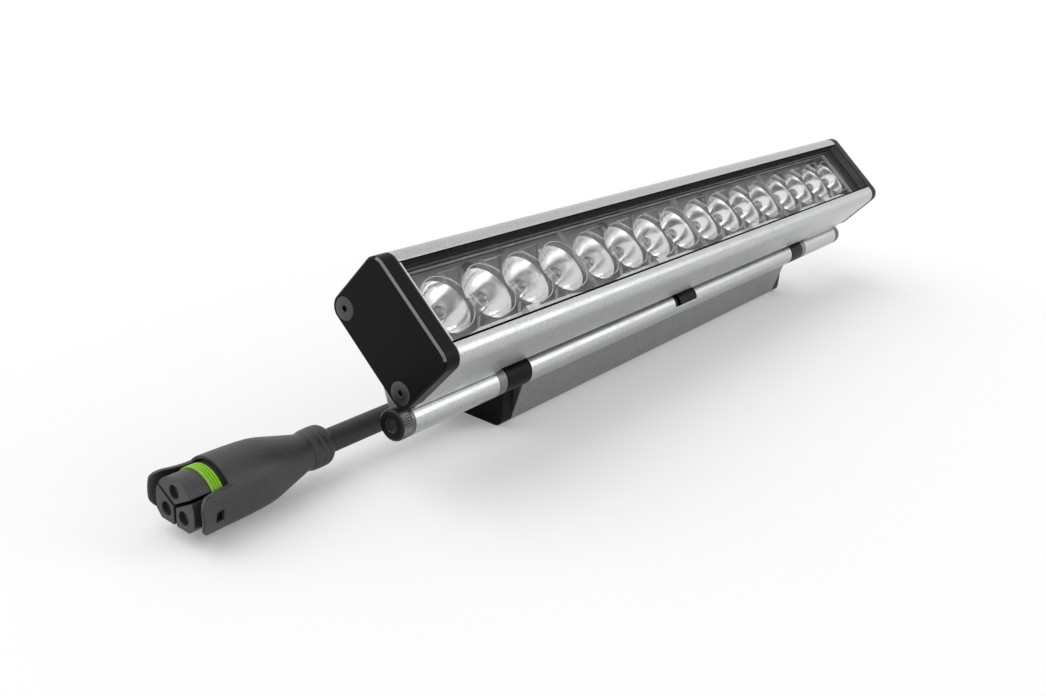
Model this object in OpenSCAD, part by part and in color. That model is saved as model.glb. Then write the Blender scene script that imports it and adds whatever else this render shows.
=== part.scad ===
// Linear wall grazer light: a tilting lens head on a driver base, with a short lead and plug.
// Origin: centre of the base's underside. +X runs along the light away from the lead,
// -Y is the side that the lenses look to, and +Z is up. Lengths are in millimetres.

/* [Overall] */
// Length over the two head end caps
overall_l = 305; // [285:1:330]
// Tilt of the head at rest, from flat on the base
rest_tilt = 40; // [10:1:90]

/* [Head housing] */
// Width of the head across its lens face
head_w = 35.6; // [34.5:0.1:38]
// Depth of the head from its back to its lens face
head_t = 24.6; // [24:0.1:27]
// Corner radius of the head's section
head_r = 4; // [3:0.1:5]
// Wall of the head extrusion
head_wall = 2; // [1.6:0.1:2.4]
// Distance from the hinge axis to the head's back
head_off = 5.8; // [5.6:0.1:6.6]
// Metal strip below the window
strip_low = 5.4; // [5:0.1:6]
// Metal strip above the window
strip_top = 4.9; // [4.6:0.1:5.4]
// Width of the ledge that carries the clear cover
ledge_w = 1.3; // [1:0.1:1.6]
// Thickness of that ledge
ledge_t = 1.2; // [1:0.1:1.5]
// Thickness of the inner shelf under the LED board
shelf_t = 2; // [1.6:0.1:2.4]
// Thickness of a head end cap
cap_t = 5; // [4.5:0.1:6]
// Chamfer round the outer face of a head end cap
cap_chamfer = 0.6; // [0.3:0.1:1]
// Depth of the cap's spigot inside the extrusion
spigot_l = 2.4; // [1.5:0.1:2.8]
// Thickness of the end gaskets
gasket_t = 0.5; // [0.3:0.1:0.8]
// Reach of the end web along the head's back
web_reach = 21; // [16:0.5:26]

/* [Fasteners] */
// Radius of the end cap screws' heads
cap_screw_head_r = 3.35; // [3:0.05:3.5]
// Radius of the end cap screws' shanks
cap_screw_r = 1.45; // [1.3:0.05:1.6]
// Length of an end cap screw
cap_screw_l = 14; // [11:0.5:18]
// Across flats of the end cap screws' key
cap_screw_key = 1.9; // [1.5:0.1:2.2]
// Inset of the head cap screws from the head's edges
cap_screw_in = 4.3; // [4.1:0.1:4.8]
// Radius of the LED board screws' heads
board_screw_head_r = 2; // [1.8:0.1:2.2]
// Radius of the LED board screws' shanks
board_screw_r = 1.2; // [1:0.1:1.3]

/* [Window and optics] */
// Thickness of the clear front cover
pane_t = 3; // [2.6:0.1:3.2]
// Depth of the cover below the metal face
pane_set = 0.2; // [0.1:0.1:0.4]
// Thickness of the cover's seal
seal_t = 0.8; // [0.6:0.1:1]
// Width of the cover's seal
seal_w = 0.7; // [0.5:0.1:0.8]
// Number of lenses in the row
lens_count = 16; // [12:4:16]
// Gap between neighbouring lenses
lens_gap = 0.7; // [0.5:0.1:1.2]
// Gap between an end of the lens row and the end cap's spigot
row_gap = 1.4; // [0.6:0.1:3]
// Height of a lens above the LED board
lens_h = 9.5; // [9:0.1:10]
// Radius of a lens where it stands on the board
lens_foot_r = 3.7; // [3.4:0.1:4.2]
// Radius of the pocket over each LED
lens_pocket_r = 2.5; // [2.2:0.1:2.8]
// Depth of the pocket over each LED
lens_pocket_h = 4; // [3:0.1:5]
// Gap between a lens array's plate and the window's edge
tray_side = 1.05; // [0.8:0.05:1.3]
// Rim of the plate beyond its three-sided openings
plate_rim = 2.3; // [1.8:0.1:3]
// Thickness of a lens array's plate
tray_t = 1.5; // [1.2:0.1:1.8]
// Gap between neighbouring lens arrays
tray_gap = 0.4; // [0.2:0.1:0.6]
// Length of a lens array's clip tab
tab_l = 6; // [4:0.5:8]
// Thickness of a clip tab's hook
tab_t = 0.6; // [0.4:0.1:0.6]

/* [LED board] */
// Gap between the LED board and the head's wall
board_side = 0.8; // [0.4:0.1:2]
// Thickness of the LED board
board_t = 1.6; // [1.2:0.1:2]
// Thickness of the heat pad under the LED board
pad_t = 0.4; // [0.3:0.1:0.6]
// Side of an LED chip
led_side = 3.2; // [3:0.1:3.3]
// Height of an LED chip's body
led_h = 0.7; // [0.5:0.1:0.9]
// Radius of an LED's dome
led_dome_r = 1.4; // [1:0.1:1.5]

/* [Hinge] */
// Outer radius of the hinge barrels
barrel_r = 4.6; // [4.4:0.05:4.9]
// Length of each head barrel
barrel_l = 35.5; // [30:0.5:38]
// Distance of the hinge axis above the base's underside
hinge_h = 18.4; // [17.5:0.1:19]
// Distance of the hinge axis in front of the base's face
hinge_out = 1.6; // [1:0.1:2.2]
// Thickness of the spacer between head barrel and knuckle
spacer_t = 3.8; // [3:0.1:4.5]
// Length of a knuckle on the base's end caps
knuckle_l = 11.3; // [10.5:0.1:13]
// Radius of the clamp screws' shanks
pivot_r = 2.5; // [2.3:0.05:2.6]
// Outer radius of the bushes in the head barrels
bush_r = 3.4; // [3.2:0.05:3.6]
// Length of a bush
bush_l = 30; // [20:0.5:30]
// Radius of a clamp screw's head
clamp_head_r = 4.55; // [4.3:0.05:4.7]
// Length of a clamp screw's head
clamp_head_l = 3.7; // [3:0.1:4]
// Across flats of the clamp screws' key
clamp_key = 4; // [3:0.1:4.2]
// Depth of the key socket
clamp_key_depth = 2.2; // [1.5:0.1:2.6]
// Number of ridges of the knurl
knurl_count = 40; // [24:2:60]
// Depth of the knurl
knurl_depth = 0.14; // [0.08:0.02:0.2]
// Thickness of the lock washers under the clamp screws' heads
lock_washer_t = 1.2; // [0.8:0.1:1.6]
// Length of the threaded nut in each knuckle
knuckle_nut_l = 8; // [6:0.5:9]
// Outer radius of that nut
knuckle_nut_r = 3.5; // [3.2:0.1:3.7]

/* [Base] */
// Depth of the base, front to back
base_d = 32.5; // [31:0.5:36]
// Height of the base
base_h = 22.4; // [21.8:0.1:23]
// Corner radius of the base's section
base_r = 2.5; // [2:0.1:3]
// Wall of the base extrusion
base_wall = 2; // [1.6:0.1:2.2]
// Thickness of a base end cap's plate
base_cap_t = 5; // [4:0.1:6]
// Bore through the base's own barrel
base_bore_r = 3; // [2.6:0.1:3.1]
// Width of the notch in the middle of the base's barrel
notch_w = 16; // [14:0.5:20]
// Height of the notch's floor above the hinge axis
notch_floor = 0.6; // [0.4:0.1:1]
// Reach of the notch from the hinge axis
notch_r = 7.5; // [7.4:0.1:8]
// Depth of the notch's insert below the barrel's surface
insert_set = 0.25; // [0.1:0.05:0.4]
// Distance of the mounting threads from the base's ends
mount_in = 35.9; // [32:0.1:60]
// Core radius of a mounting thread
mount_r = 1.65; // [1.6:0.05:2.1]
// Depth of a mounting thread
mount_depth = 6; // [5:0.1:6.5]
// Outer radius of a mounting insert
mount_outer_r = 3.5; // [3.2:0.1:4]
// Closed end of a mounting insert
mount_end_t = 1; // [0.6:0.1:1.2]

/* [Driver] */
// Distance of the driver board's ends from the base's ends
driver_gap = 15.9; // [14:0.1:26]
// Thickness of the driver board
driver_t = 1.6; // [1.2:0.1:1.6]
// Height of the driver board's underside
driver_z = 8.2; // [8:0.1:8.6]
// Depth of the grooves that hold the driver board
groove_d = 1.3; // [1:0.1:1.5]
// Thickness of the ribs beside a groove
rib_t = 1; // [0.8:0.1:1.2]
// Radius of the driver's choke, as a share of half the base's inner depth
choke_r_share = 0.42; // [0.3:0.01:0.44]
// Height of the driver's choke
choke_h = 8.5; // [6:0.1:9]
// Radius of a driver capacitor, as a share of half the base's inner depth
capacitor_r_share = 0.28; // [0.2:0.01:0.3]
// Length of a driver capacitor, as a share of the driver board's length
capacitor_l_share = 0.08; // [0.05:0.01:0.09]
// Side of a driver chip
chip_side = 5; // [4:0.1:6]
// Thickness of a driver chip
chip_t = 1.6; // [1:0.1:2]

/* [Cable and gland] */
// Diameter of the power cable
cable_d = 6.8; // [6:0.1:7]
// Height of the cable above the base's underside
cable_z = 9.3; // [9.3:0.1:10]
// Radius of the gland's nut
gland_r = 6; // [5.7:0.1:6.4]
// Length of the gland's hexagon
gland_hex_l = 3.6; // [3:0.1:4.5]
// Length of the gland from the base's end cap to its nut's end
gland_l = 12.6; // [12:0.1:13]
// Radius of the gland's thread
gland_thread_r = 4.9; // [4.7:0.05:5.1]
// Thickness of the gland's lock nut
gland_lock_t = 2.6; // [2:0.1:3]
// Length of cable inside the base
tail_l = 12; // [10:0.5:14]
// Radius of a core inside the cable
core_r = 0.8; // [0.6:0.05:0.9]
// Radius of the lead that links base and head
link_r = 0.9; // [0.7:0.05:0.95]

/* [Plug] */
// Length of the plug, wing tips to collar end
plug_l = 46.8; // [44:0.1:50]
// Outer radius of the plug
plug_r = 9.25; // [9.1:0.05:9.3]
// Wall of the plug's wings
wing_t = 0.95; // [0.8:0.05:1]
// Length of the wings, tips to the rim behind them
wing_l = 9.9; // [9.6:0.1:11]
// Outward reach of a wing's tip
wing_flare = 1.9; // [0:0.1:2.2]
// Height of a wing
wing_h = 9.6; // [8:0.1:11]
// Radius of a wing's front corners
wing_r = 2.7; // [1.5:0.1:3.5]
// Radius of the plug's insert
insert_r = 7.4; // [7.2:0.05:7.75]
// Distance of the insert's flat underside below the plug's axis
insert_flat = 5.2; // [4.8:0.1:5.6]
// Width of the slots between the three shrouds
slot_w = 0.9; // [0.6:0.1:1.2]
// Depth of those slots
slot_depth = 9; // [6:0.1:11]
// Radius of a socket's mouth
socket_r = 1.8; // [1.5:0.1:1.9]
// Distance of the sockets from the plug's axis
socket_out = 3.8; // [3.6:0.1:4]
// Width of the coding ring
ring_w = 3; // [2:0.1:3.4]
// Thickness of the coding ring
ring_t = 0.45; // [0.3:0.05:0.5]
// Distance of the coding ring behind the wing tips
ring_back = 5.9; // [5:0.1:6.2]
// Radius of the collar where the cable leaves the plug
collar_r = 5.75; // [5.4:0.05:6]
// Length of that collar
collar_l = 7.5; // [6:0.1:9]

/* [Hidden] */
$fn = 64;

// Clearances and overruns
cut = 1;
fit_gap = 0.05;
slip_gap = 0.1;
seat_gap = 0.3;

// Stations along X, from the middle to the near and far ends
head_end = overall_l / 2;
metal_end = head_end - cap_t - gasket_t;
barrel_in = metal_end - barrel_l;
knuckle_out = barrel_in - spacer_t;
base_end = knuckle_out - knuckle_l - gasket_t;
base_cap_in = base_end + gasket_t;
base_cap_out = base_cap_in + base_cap_t;
clamp_face = metal_end + lock_washer_t + clamp_head_l;
clamp_out = 0.9;
clamp_tip = knuckle_out - knuckle_nut_l - clamp_out;

// Hinge axis
inner_y = base_d / 2 - base_wall;
hinge_y = -base_d / 2 - hinge_out;
hinge_z = hinge_h;

// Levels in the head, measured from the hinge axis square to the lens face
face_n = head_off + head_t;
pane_n = face_n - pane_set - pane_t;
seal_n = pane_n - seal_t;
ledge_n = seal_n - ledge_t;
lens_n = ledge_n - 0.5 * ledge_t;
board_n = lens_n - lens_h;
pad_n = board_n - board_t;
shelf_n = pad_n - pad_t;
inner_n = head_off + head_wall;

// Places across the lens face, measured from the head's lower edge
window_low = strip_low;
window_top = head_w - strip_top;
window_mid = (window_low + window_top) / 2;
board_low = head_wall + board_side;
board_w = head_w - 2 * board_low;

// Cap screws in the head: both near the head's back
cap_screw_places = [
    [cap_screw_in, head_off + cap_screw_in + fit_gap],
    [head_w - cap_screw_in, head_off + cap_screw_in + fit_gap]
];
web_set = 0.4;
boss_r = shelf_n - head_off - cap_screw_in - slip_gap;
csk_lip = 0.3;

// Cap screws in the base: two under its top wall and one at the back below
base_boss_r = 2.9;
base_boss_in = base_wall + 0.75 * base_boss_r;
base_screw_places = [
    [-base_d / 2 + 2.9 * base_wall + base_boss_r / 2, base_h - base_boss_in],
    [base_d / 2 - base_boss_in, base_h - base_boss_in],
    [base_d / 2 - base_boss_in, base_boss_in]
];
base_screw_head_r = 2.9;
mount_x = base_end - mount_in;

// LED board and lens arrays
row_l = 2 * (metal_end - spigot_l - row_gap);
lens_pitch = row_l / lens_count;
tray_w = window_top - window_low - 2 * tray_side;
lens_d = min(lens_pitch, tray_w) - lens_gap;
per_array = lens_count / 4;
array_l = per_array * lens_pitch - tray_gap;
tray_low = window_mid - tray_w / 2;
lens_rim = 0.4;
cone_top_r = lens_d / 2 - lens_rim;
pocket_dome_share = 0.45;
board_screw_in = 2.9;
board_screw_out = 0.6;
board_screw_l = board_t + pad_t + shelf_t + board_screw_out;
board_screw_head_h = 1.6;
board_screw_x_shares = [-0.375, -0.125, 0.125, 0.375];

// Lead between base and head: it runs along the hinge axis, where it twists as the head tilts
link_x = -5;
link_gap = 0.3;
link_bore_r = link_r + seat_gap;
link_up_s = 4.8;
link_turn_x = 12;
socket_l = 8;
socket_w = 4;
socket_lift = 1.2;
socket_n = inner_n + socket_lift;
link_route_head = [
    [-link_gap / 2, 0, 0], [link_x + link_r, 0, 0], [link_x, 0.15 * head_off, 0.1 * head_off],
    [link_x, 0.5 * head_off, 0.3 * head_off], [link_x, 0.75 * head_off, 0.6 * head_off],
    [link_x, link_up_s, 0.87 * head_off], [link_x, link_up_s, socket_n]
];
output_h = 4.6;
output_y = -inner_y + 0.85 * output_h;
link_drop = 1.6;
driver_top = driver_z + driver_t;
link_route_base = [
    [link_gap / 2, hinge_y, hinge_z], [link_turn_x - link_r, hinge_y, hinge_z],
    [link_turn_x, hinge_y + link_r, hinge_z - 0.6 * link_drop],
    [link_turn_x, -inner_y - base_wall / 2, hinge_z - link_drop],
    [link_turn_x, -inner_y + link_r, hinge_z - link_drop],
    [link_turn_x, output_y - output_h / 4, driver_top + output_h + 0.7 * link_r],
    [link_turn_x, output_y - output_h / 4, driver_top + output_h]
];
grommet_r = 1.9;
grommet_flange_r = 2.7;
grommet_flange_t = 0.5;

// Base interior
driver_l = 2 * (base_end - driver_gap);
driver_w = 2 * (inner_y - slip_gap);
choke_x = -0.3 * driver_l;
choke_waist_share = 0.78;
choke_r = choke_r_share * inner_y;
capacitor_r = capacitor_r_share * inner_y;
capacitor_l = capacitor_l_share * driver_l;
capacitor_shares = [[-0.16, 0.46], [-0.16, -0.25], [0.25, 0.35]];
chip_shares = [[0.37, 0.35], [0.41, -0.42], [0.45, 0.42], [0.19, -0.42]];
capacitor_places = [for (share = capacitor_shares) [share[0] * driver_l, share[1] * inner_y]];
chip_places = [for (share = chip_shares) [share[0] * driver_l, share[1] * inner_y]];
terminal_l = 10;
terminal_w = inner_y;
terminal_h = 5.6;
core_pitch = 4;

// Cable run: it leaves the gland and goes straight into the plug's collar
cable_r = cable_d / 2;
gland_out = -base_cap_out - gland_l;
cable_run = [
    [0, 0, 0], [-3, 0, 0], [-6, 0, 0], [-9, 0, 0], [-12, 0, 0], [-15, 0, 0],
    [-18, 0, 0], [-21, 0, 0], [-24, 0, 0], [-27, 0, 0], [-30, 0, 0], [-33, 0, 0],
    [-36, 0, 0], [-39, 0, 0], [-42, 0, 0], [-45, 0, 0]
];
cable_route = [for (p = cable_run) p + [gland_out, 0, cable_z]];
cable_ring_step = 5;
tube_sides = 12;
sweep_guide = [2, -3, 1];

// Plug stations, measured from the wing tips towards the cable
plug_tip = cable_route[len(cable_route) - 1][0] - plug_l;
body_full_l = 0.53 * plug_l;
neck_w = 1.2;
neck_step = 0.45;
body_neck_l = plug_l - collar_l - neck_w;
body_neck_r = collar_r - neck_step;
body_taper_share = 0.955;
mouth_r = plug_r - wing_t;
mouth_l = 14;
plug_wall = 1.6;
insert_l = 13.4;
latch_w = 2.4;
latch_h = 2.8;
latch_back = 4.6;
latch_drop = 1.2;
contact_r = 1.45;
contact_wall = 0.4;
contact_l = 15;
contact_in = 1.6;
ring_groove_shares = [0.22, 0.46, 0.7];
ring_groove_w_share = 0.08;
seal_ring_w = 0.8;
seal_ring_r = 0.55;
collar_groove = 0.35;
plug_jacket_l = 13.4;

// Colours of the drawing
ALUMINIUM = [0.74, 0.75, 0.76];
BLACK = [0.12, 0.12, 0.13];
GREY_STEEL = [0.45, 0.46, 0.47];
BRASS = [0.78, 0.62, 0.3];
RUBBER = [0.08, 0.08, 0.08];
CLEAR = [0.85, 0.9, 0.95, 0.5];

// Frames and small shapes

// The head's own frame: X along the light, Y across the lens face, Z square to it
module in_head() {
    translate([0, hinge_y, hinge_z]) rotate([rest_tilt, 0, 0]) children();
}

// The hinge axis as the X axis
module on_hinge() {
    translate([0, hinge_y, hinge_z]) children();
}

// The plug's own frame: X from the wing tips along its axis
module in_plug() {
    translate([plug_tip, 0, cable_z]) children();
}

// A flat outline in Y and Z, drawn out along X
module along_x(x0, x1) {
    translate([x0, 0, 0]) rotate([90, 0, 90]) linear_extrude(x1 - x0) children();
}

// A turned outline of [x, radius] points about the X axis
module turned_x(points) {
    rotate([90, 0, 90]) rotate_extrude() polygon([for (p = points) [p[1], p[0]]]);
}

module rod_x(x0, x1, r) {
    along_x(x0, x1) circle(r);
}

module tube_x(x0, x1, r_out, r_in) {
    along_x(x0, x1) ring_outline(r_out, r_in);
}

module ring_outline(r_out, r_in) {
    difference() {
        circle(r_out);
        circle(r_in);
    }
}

module round_rect(w, h, r) {
    translate([r, 0]) square([w - 2 * r, h]);
    translate([0, r]) square([w, h - 2 * r]);
    for (a = [r, w - r], b = [r, h - r]) translate([a, b]) circle(r);
}

module at_places(places) {
    for (p = places) translate(p) children();
}

module to_far() {
    mirror([1, 0, 0]) children();
}

// Countersunk screw whose face looks along -X at x = 0
module csk_screw(head_r, shank_r, l, key) {
    difference() {
        turned_x([
            [0, 0], [0, head_r], [csk_lip, head_r], [csk_lip + head_r - shank_r, shank_r],
            [l, shank_r], [l, 0]
        ]);
        along_x(-cut, 0.5 * (csk_lip + head_r - shank_r)) circle(r = key / sqrt(3), $fn = 6);
    }
}

// The space that such a screw needs
module csk_space(head_r, shank_r, l) {
    head = head_r + fit_gap;
    shank = shank_r + fit_gap;
    turned_x([
        [-cut, 0], [-cut, head], [csk_lip, head], [csk_lip + head - shank, shank],
        [l, shank], [l, 0]
    ]);
}

function unit(v) = v / norm(v);

// Direction of a route at one of its points
function heading(route, i) =
    let (
        a = i > 0 ? unit(route[i] - route[i - 1]) : [0, 0, 0],
        b = i < len(route) - 1 ? unit(route[i + 1] - route[i]) : [0, 0, 0]
    ) unit(a + b);

function ring_points(route, i, r) =
    let (t = heading(route, i), u = unit(cross(sweep_guide, t)), v = cross(t, u))
        [for (k = [0 : tube_sides - 1])
            route[i] + r * (cos(k * 360 / tube_sides) * u + sin(k * 360 / tube_sides) * v)];

// A tube swept along a route
module sweep(route, r) {
    n = tube_sides;
    last = (len(route) - 1) * n;
    points = [for (i = [0 : len(route) - 1], p = ring_points(route, i, r)) p];
    sides = [
        for (i = [0 : len(route) - 2], k = [0 : n - 1], half = [0, 1])
            let (a = i * n + k, b = i * n + (k + 1) % n)
                half == 0 ? [a, b + n, b] : [a, a + n, b + n]
    ];
    ends = [
        for (k = [1 : n - 2], first = [0, last])
            first == 0 ? [0, k, k + 1] : [last, last + k + 1, last + k]
    ];
    polyhedron(points, concat(sides, ends));
}

// Head

module head_section() {
    difference() {
        translate([0, head_off]) round_rect(head_w, head_t, head_r);
        translate([head_wall, inner_n])
            round_rect(head_w - 2 * head_wall, head_t - 2 * head_wall, head_r - head_wall);
        translate([window_low, seal_n]) square([window_top - window_low, head_t]);
    }
    translate([head_wall / 2, ledge_n]) square([window_low + ledge_w - head_wall / 2, ledge_t]);
    translate([window_top - ledge_w, ledge_n])
        square([head_w - window_top + ledge_w - head_wall / 2, ledge_t]);
    translate([head_wall / 2, ledge_n])
        square([window_low - head_wall / 2, face_n - head_wall / 2 - ledge_n]);
    translate([window_top, ledge_n])
        square([head_w - window_top - head_wall / 2, face_n - head_wall / 2 - ledge_n]);
    translate([head_wall / 2, shelf_n - shelf_t]) square([head_w - head_wall, shelf_t]);
    at_places(cap_screw_places) circle(boss_r);
}

// Web that joins each end barrel to the head's back
module web_section() {
    reach = norm([web_reach, head_off]);
    angle = atan2(head_off, web_reach) - acos(barrel_r / reach);
    polygon([
        [web_set, 0], [web_set, head_off + head_r], [web_reach, head_off + head_wall / 2],
        [web_reach, head_off], [barrel_r * cos(angle), barrel_r * sin(angle)]
    ]);
}

module head_profile() {
    color(ALUMINIUM) in_head() difference() {
        union() {
            along_x(-metal_end, metal_end) head_section();
            for (x = [-metal_end, barrel_in]) along_x(x, x + barrel_l) {
                web_section();
                circle(barrel_r);
            }
        }
        for (x = [-metal_end, barrel_in]) rod_x(x - cut, x + barrel_l + cut, bush_r + fit_gap / 2);
        head_screw_space();
        translate([link_x - socket_l / 2 - seat_gap, board_low - seat_gap, inner_n])
            cube([socket_l + 2 * seat_gap, socket_w + 2 * seat_gap, shelf_n - inner_n + cut]);
        translate([link_x, link_up_s, head_off - cut]) cylinder(r = grommet_r, h = head_wall + 2 * cut);
        at_places([for (p = board_screw_places()) [p[0], p[1], shelf_n - shelf_t - cut]])
            cylinder(r = board_screw_r + fit_gap, h = shelf_t + 2 * cut);
    }
}

// Bores for the end cap screws, at both ends of the head
module head_screw_space() {
    depth = cap_screw_l + cut;
    for (p = cap_screw_places, x = [-metal_end - cut, metal_end - depth])
        translate([0, p[0], p[1]]) rod_x(x, x + depth + cut, cap_screw_r + fit_gap);
}

function board_screw_places() = [
    for (share = board_screw_x_shares, s = [board_screw_in, board_w - board_screw_in])
        [share * row_l, board_low + s]
];

module head_cap() {
    difference() {
        union() {
            hull() {
                along_x(-head_end + cap_chamfer, -head_end + cap_t)
                    translate([0, head_off]) round_rect(head_w, head_t, head_r, $fn = 32);
                along_x(-head_end, -head_end + cap_t)
                    translate([cap_chamfer, head_off + cap_chamfer])
                        round_rect(
                            head_w - 2 * cap_chamfer, head_t - 2 * cap_chamfer, head_r - cap_chamfer,
                            $fn = 32
                        );
            }
            translate([-metal_end - gasket_t - cap_t / 2, head_wall + slip_gap, board_n + slip_gap])
                cube([
                    spigot_l + gasket_t + cap_t / 2, head_w - 2 * head_wall - 2 * slip_gap,
                    ledge_n - board_n - 2 * slip_gap
                ]);
        }
        for (p = cap_screw_places) translate([-head_end, p[0], p[1]])
            csk_space(cap_screw_head_r, cap_screw_r, cap_t + cut);
    }
}

module head_cap_near() {
    color(BLACK) in_head() head_cap();
}

module head_cap_far() {
    color(BLACK) in_head() to_far() head_cap();
}

module head_gasket() {
    along_x(-metal_end - gasket_t, -metal_end) difference() {
        translate([0, head_off]) round_rect(head_w, head_t, head_r);
        translate([head_wall, board_n])
            square([head_w - 2 * head_wall, ledge_n - board_n]);
        at_places(cap_screw_places) circle(cap_screw_r + slip_gap);
    }
}

module head_gasket_near() {
    color(RUBBER) in_head() head_gasket();
}

module head_gasket_far() {
    color(RUBBER) in_head() to_far() head_gasket();
}

module head_cap_screws() {
    color(GREY_STEEL) in_head() for (p = cap_screw_places) {
        translate([-head_end, p[0], p[1]])
            csk_screw(cap_screw_head_r, cap_screw_r, cap_screw_l, cap_screw_key);
        to_far() translate([-head_end, p[0], p[1]])
            csk_screw(cap_screw_head_r, cap_screw_r, cap_screw_l, cap_screw_key);
    }
}

module front_cover() {
    color(CLEAR) in_head()
        translate([-metal_end + slip_gap, window_low + slip_gap, pane_n])
            cube([2 * (metal_end - slip_gap), window_top - window_low - 2 * slip_gap, pane_t]);
}

module cover_seal() {
    l = 2 * (metal_end - slip_gap);
    w = window_top - window_low - 2 * slip_gap;
    color(RUBBER) in_head() translate([-l / 2, window_low + slip_gap, seal_n]) difference() {
        cube([l, w, seal_t]);
        translate([seal_w, seal_w, -cut]) cube([l - 2 * seal_w, w - 2 * seal_w, seal_t + 2 * cut]);
    }
}

// Optics: one lens, standing on the board at the origin and looking along Z

module lens_body() {
    outer = lens_d / 2;
    rim_h = lens_h - tray_t;
    rotate_extrude() polygon([
        [0, lens_pocket_h], [pocket_dome_share * lens_pocket_r, 0.94 * lens_pocket_h],
        [0.8 * lens_pocket_r, 0.8 * lens_pocket_h], [lens_pocket_r, 0], [lens_foot_r, 0],
        [lens_foot_r + 0.42 * (cone_top_r - lens_foot_r), 0.3 * rim_h],
        [lens_foot_r + 0.75 * (cone_top_r - lens_foot_r), 0.62 * rim_h],
        [cone_top_r, rim_h], [outer, rim_h], [outer, lens_h + fit_gap], [0, lens_h + fit_gap]
    ]);
}

// Clip tab: a post on the plate whose hook reaches over a ledge
module clip_tab(side) {
    ledge_edge = side < 0 ? window_low + ledge_w : window_top - ledge_w;
    reach = ledge_w - seal_w - 2 * slip_gap;
    post_w = 1.5 * tray_t;
    post_n = seal_n + fit_gap;
    mid = ledge_edge - side * (slip_gap + post_w / 2);
    translate([-tab_l / 2, mid - post_w / 2, lens_n - tray_t / 2])
        cube([tab_l, post_w, post_n + tab_t - lens_n + tray_t / 2]);
    translate([-tab_l / 2, min(mid, ledge_edge + side * reach), post_n])
        cube([tab_l, abs(ledge_edge + side * reach - mid), tab_t]);
}

module lens_array(index) {
    first_x = -row_l / 2 + (index - 1) * per_array * lens_pitch;
    mid_x = first_x + per_array * lens_pitch / 2;
    lens_x = [for (i = [0 : per_array - 1]) first_x + (i + 0.5) * lens_pitch];
    gap_x = [for (i = [1 : per_array - 1]) first_x + i * lens_pitch];
    plate_n = lens_n - tray_t;
    difference() {
        union() {
            translate([mid_x - array_l / 2, tray_low, plate_n]) cube([array_l, tray_w, tray_t]);
            for (x = lens_x) translate([x, window_mid, board_n]) lens_body();
            for (side = [-1, 1]) translate([mid_x, 0, 0]) clip_tab(side);
        }
        for (x = gap_x, side = [-1, 1]) translate([x, window_mid, plate_n - cut])
            linear_extrude(tray_t + 2 * cut) plate_opening(side);
    }
}

// Three-sided opening in the plate between two lenses
module plate_opening(side) {
    foot = tray_w / 2 - plate_rim;
    tip = 0.24 * lens_pitch;
    half = 0.26 * lens_pitch;
    difference() {
        polygon([[0, side * tip], [half, side * foot], [-half, side * foot]]);
        for (x = [-lens_pitch / 2, lens_pitch / 2]) translate([x, 0]) circle(lens_d / 2 + seat_gap);
    }
}

module lens_array_1() {
    color(CLEAR) in_head() lens_array(1);
}

module lens_array_2() {
    color(CLEAR) in_head() lens_array(2);
}

module lens_array_3() {
    color(CLEAR) in_head() lens_array(3);
}

module lens_array_4() {
    color(CLEAR) in_head() lens_array(4);
}

module led_board() {
    color("white") in_head() difference() {
        translate([-row_l / 2, board_low, pad_n]) cube([row_l, board_w, board_t]);
        at_places([for (p = board_screw_places()) [p[0], p[1], pad_n - cut]])
            cylinder(r = board_screw_r + slip_gap, h = board_t + 2 * cut);
    }
}

module leds() {
    color("gold") in_head() for (i = [0 : lens_count - 1])
        translate([-row_l / 2 + (i + 0.5) * lens_pitch, window_mid, board_n]) {
            translate([-led_side / 2, -led_side / 2, 0]) cube([led_side, led_side, led_h]);
            intersection() {
                translate([0, 0, 0.6 * led_h]) sphere(led_dome_r);
                translate([-led_side, -led_side, led_h / 2]) cube(2 * led_side);
            }
        }
}

module heat_pad() {
    color("lightgrey") in_head() difference() {
        translate([-row_l / 2, board_low, shelf_n]) cube([row_l, board_w, pad_t]);
        at_places([for (p = board_screw_places()) [p[0], p[1], shelf_n - cut]])
            cylinder(r = board_screw_r + slip_gap, h = pad_t + 2 * cut);
        translate([link_x - socket_l / 2 - seat_gap, board_low - cut, shelf_n - cut])
            cube([socket_l + 2 * seat_gap, socket_w + seat_gap + cut, pad_t + 2 * cut]);
    }
}

module board_screws() {
    color(GREY_STEEL) in_head() at_places([for (p = board_screw_places()) [p[0], p[1], board_n]])
        rotate_extrude() polygon([
            [0, board_screw_head_h], [0.7 * board_screw_head_r, board_screw_head_h],
            [board_screw_head_r, 0.6 * board_screw_head_h], [board_screw_head_r, 0],
            [board_screw_r, 0], [board_screw_r, -board_screw_l], [0, -board_screw_l]
        ]);
}

// Socket on the board's underside that the lead plugs into
module head_socket() {
    color("ivory") in_head()
        translate([link_x - socket_l / 2, board_low, socket_n])
            cube([socket_l, socket_w, pad_n - socket_n]);
}

module head_grommet() {
    flange_n = head_off - grommet_flange_t;
    color(RUBBER) in_head() translate([link_x, link_up_s, 0]) rotate_extrude() polygon([
        [link_r + fit_gap, flange_n], [grommet_flange_r, flange_n], [grommet_flange_r, head_off],
        [grommet_r, head_off], [grommet_r, inner_n], [link_r + fit_gap, inner_n]
    ]);
}

module link_lead_head() {
    color(RUBBER) in_head() sweep(link_route_head, link_r);
}

// Hinge

module pivot_bush() {
    tube_x(-metal_end, -metal_end + bush_l, bush_r, pivot_r + fit_gap);
}

module pivot_bush_near() {
    color(BRASS) in_head() pivot_bush();
}

module pivot_bush_far() {
    color(BRASS) in_head() to_far() pivot_bush();
}

module lock_washer() {
    tube_x(-metal_end - lock_washer_t + fit_gap, -metal_end, barrel_r - slip_gap, pivot_r + slip_gap);
}

module lock_washer_near() {
    color("silver") in_head() lock_washer();
}

module lock_washer_far() {
    color("silver") in_head() to_far() lock_washer();
}

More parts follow.
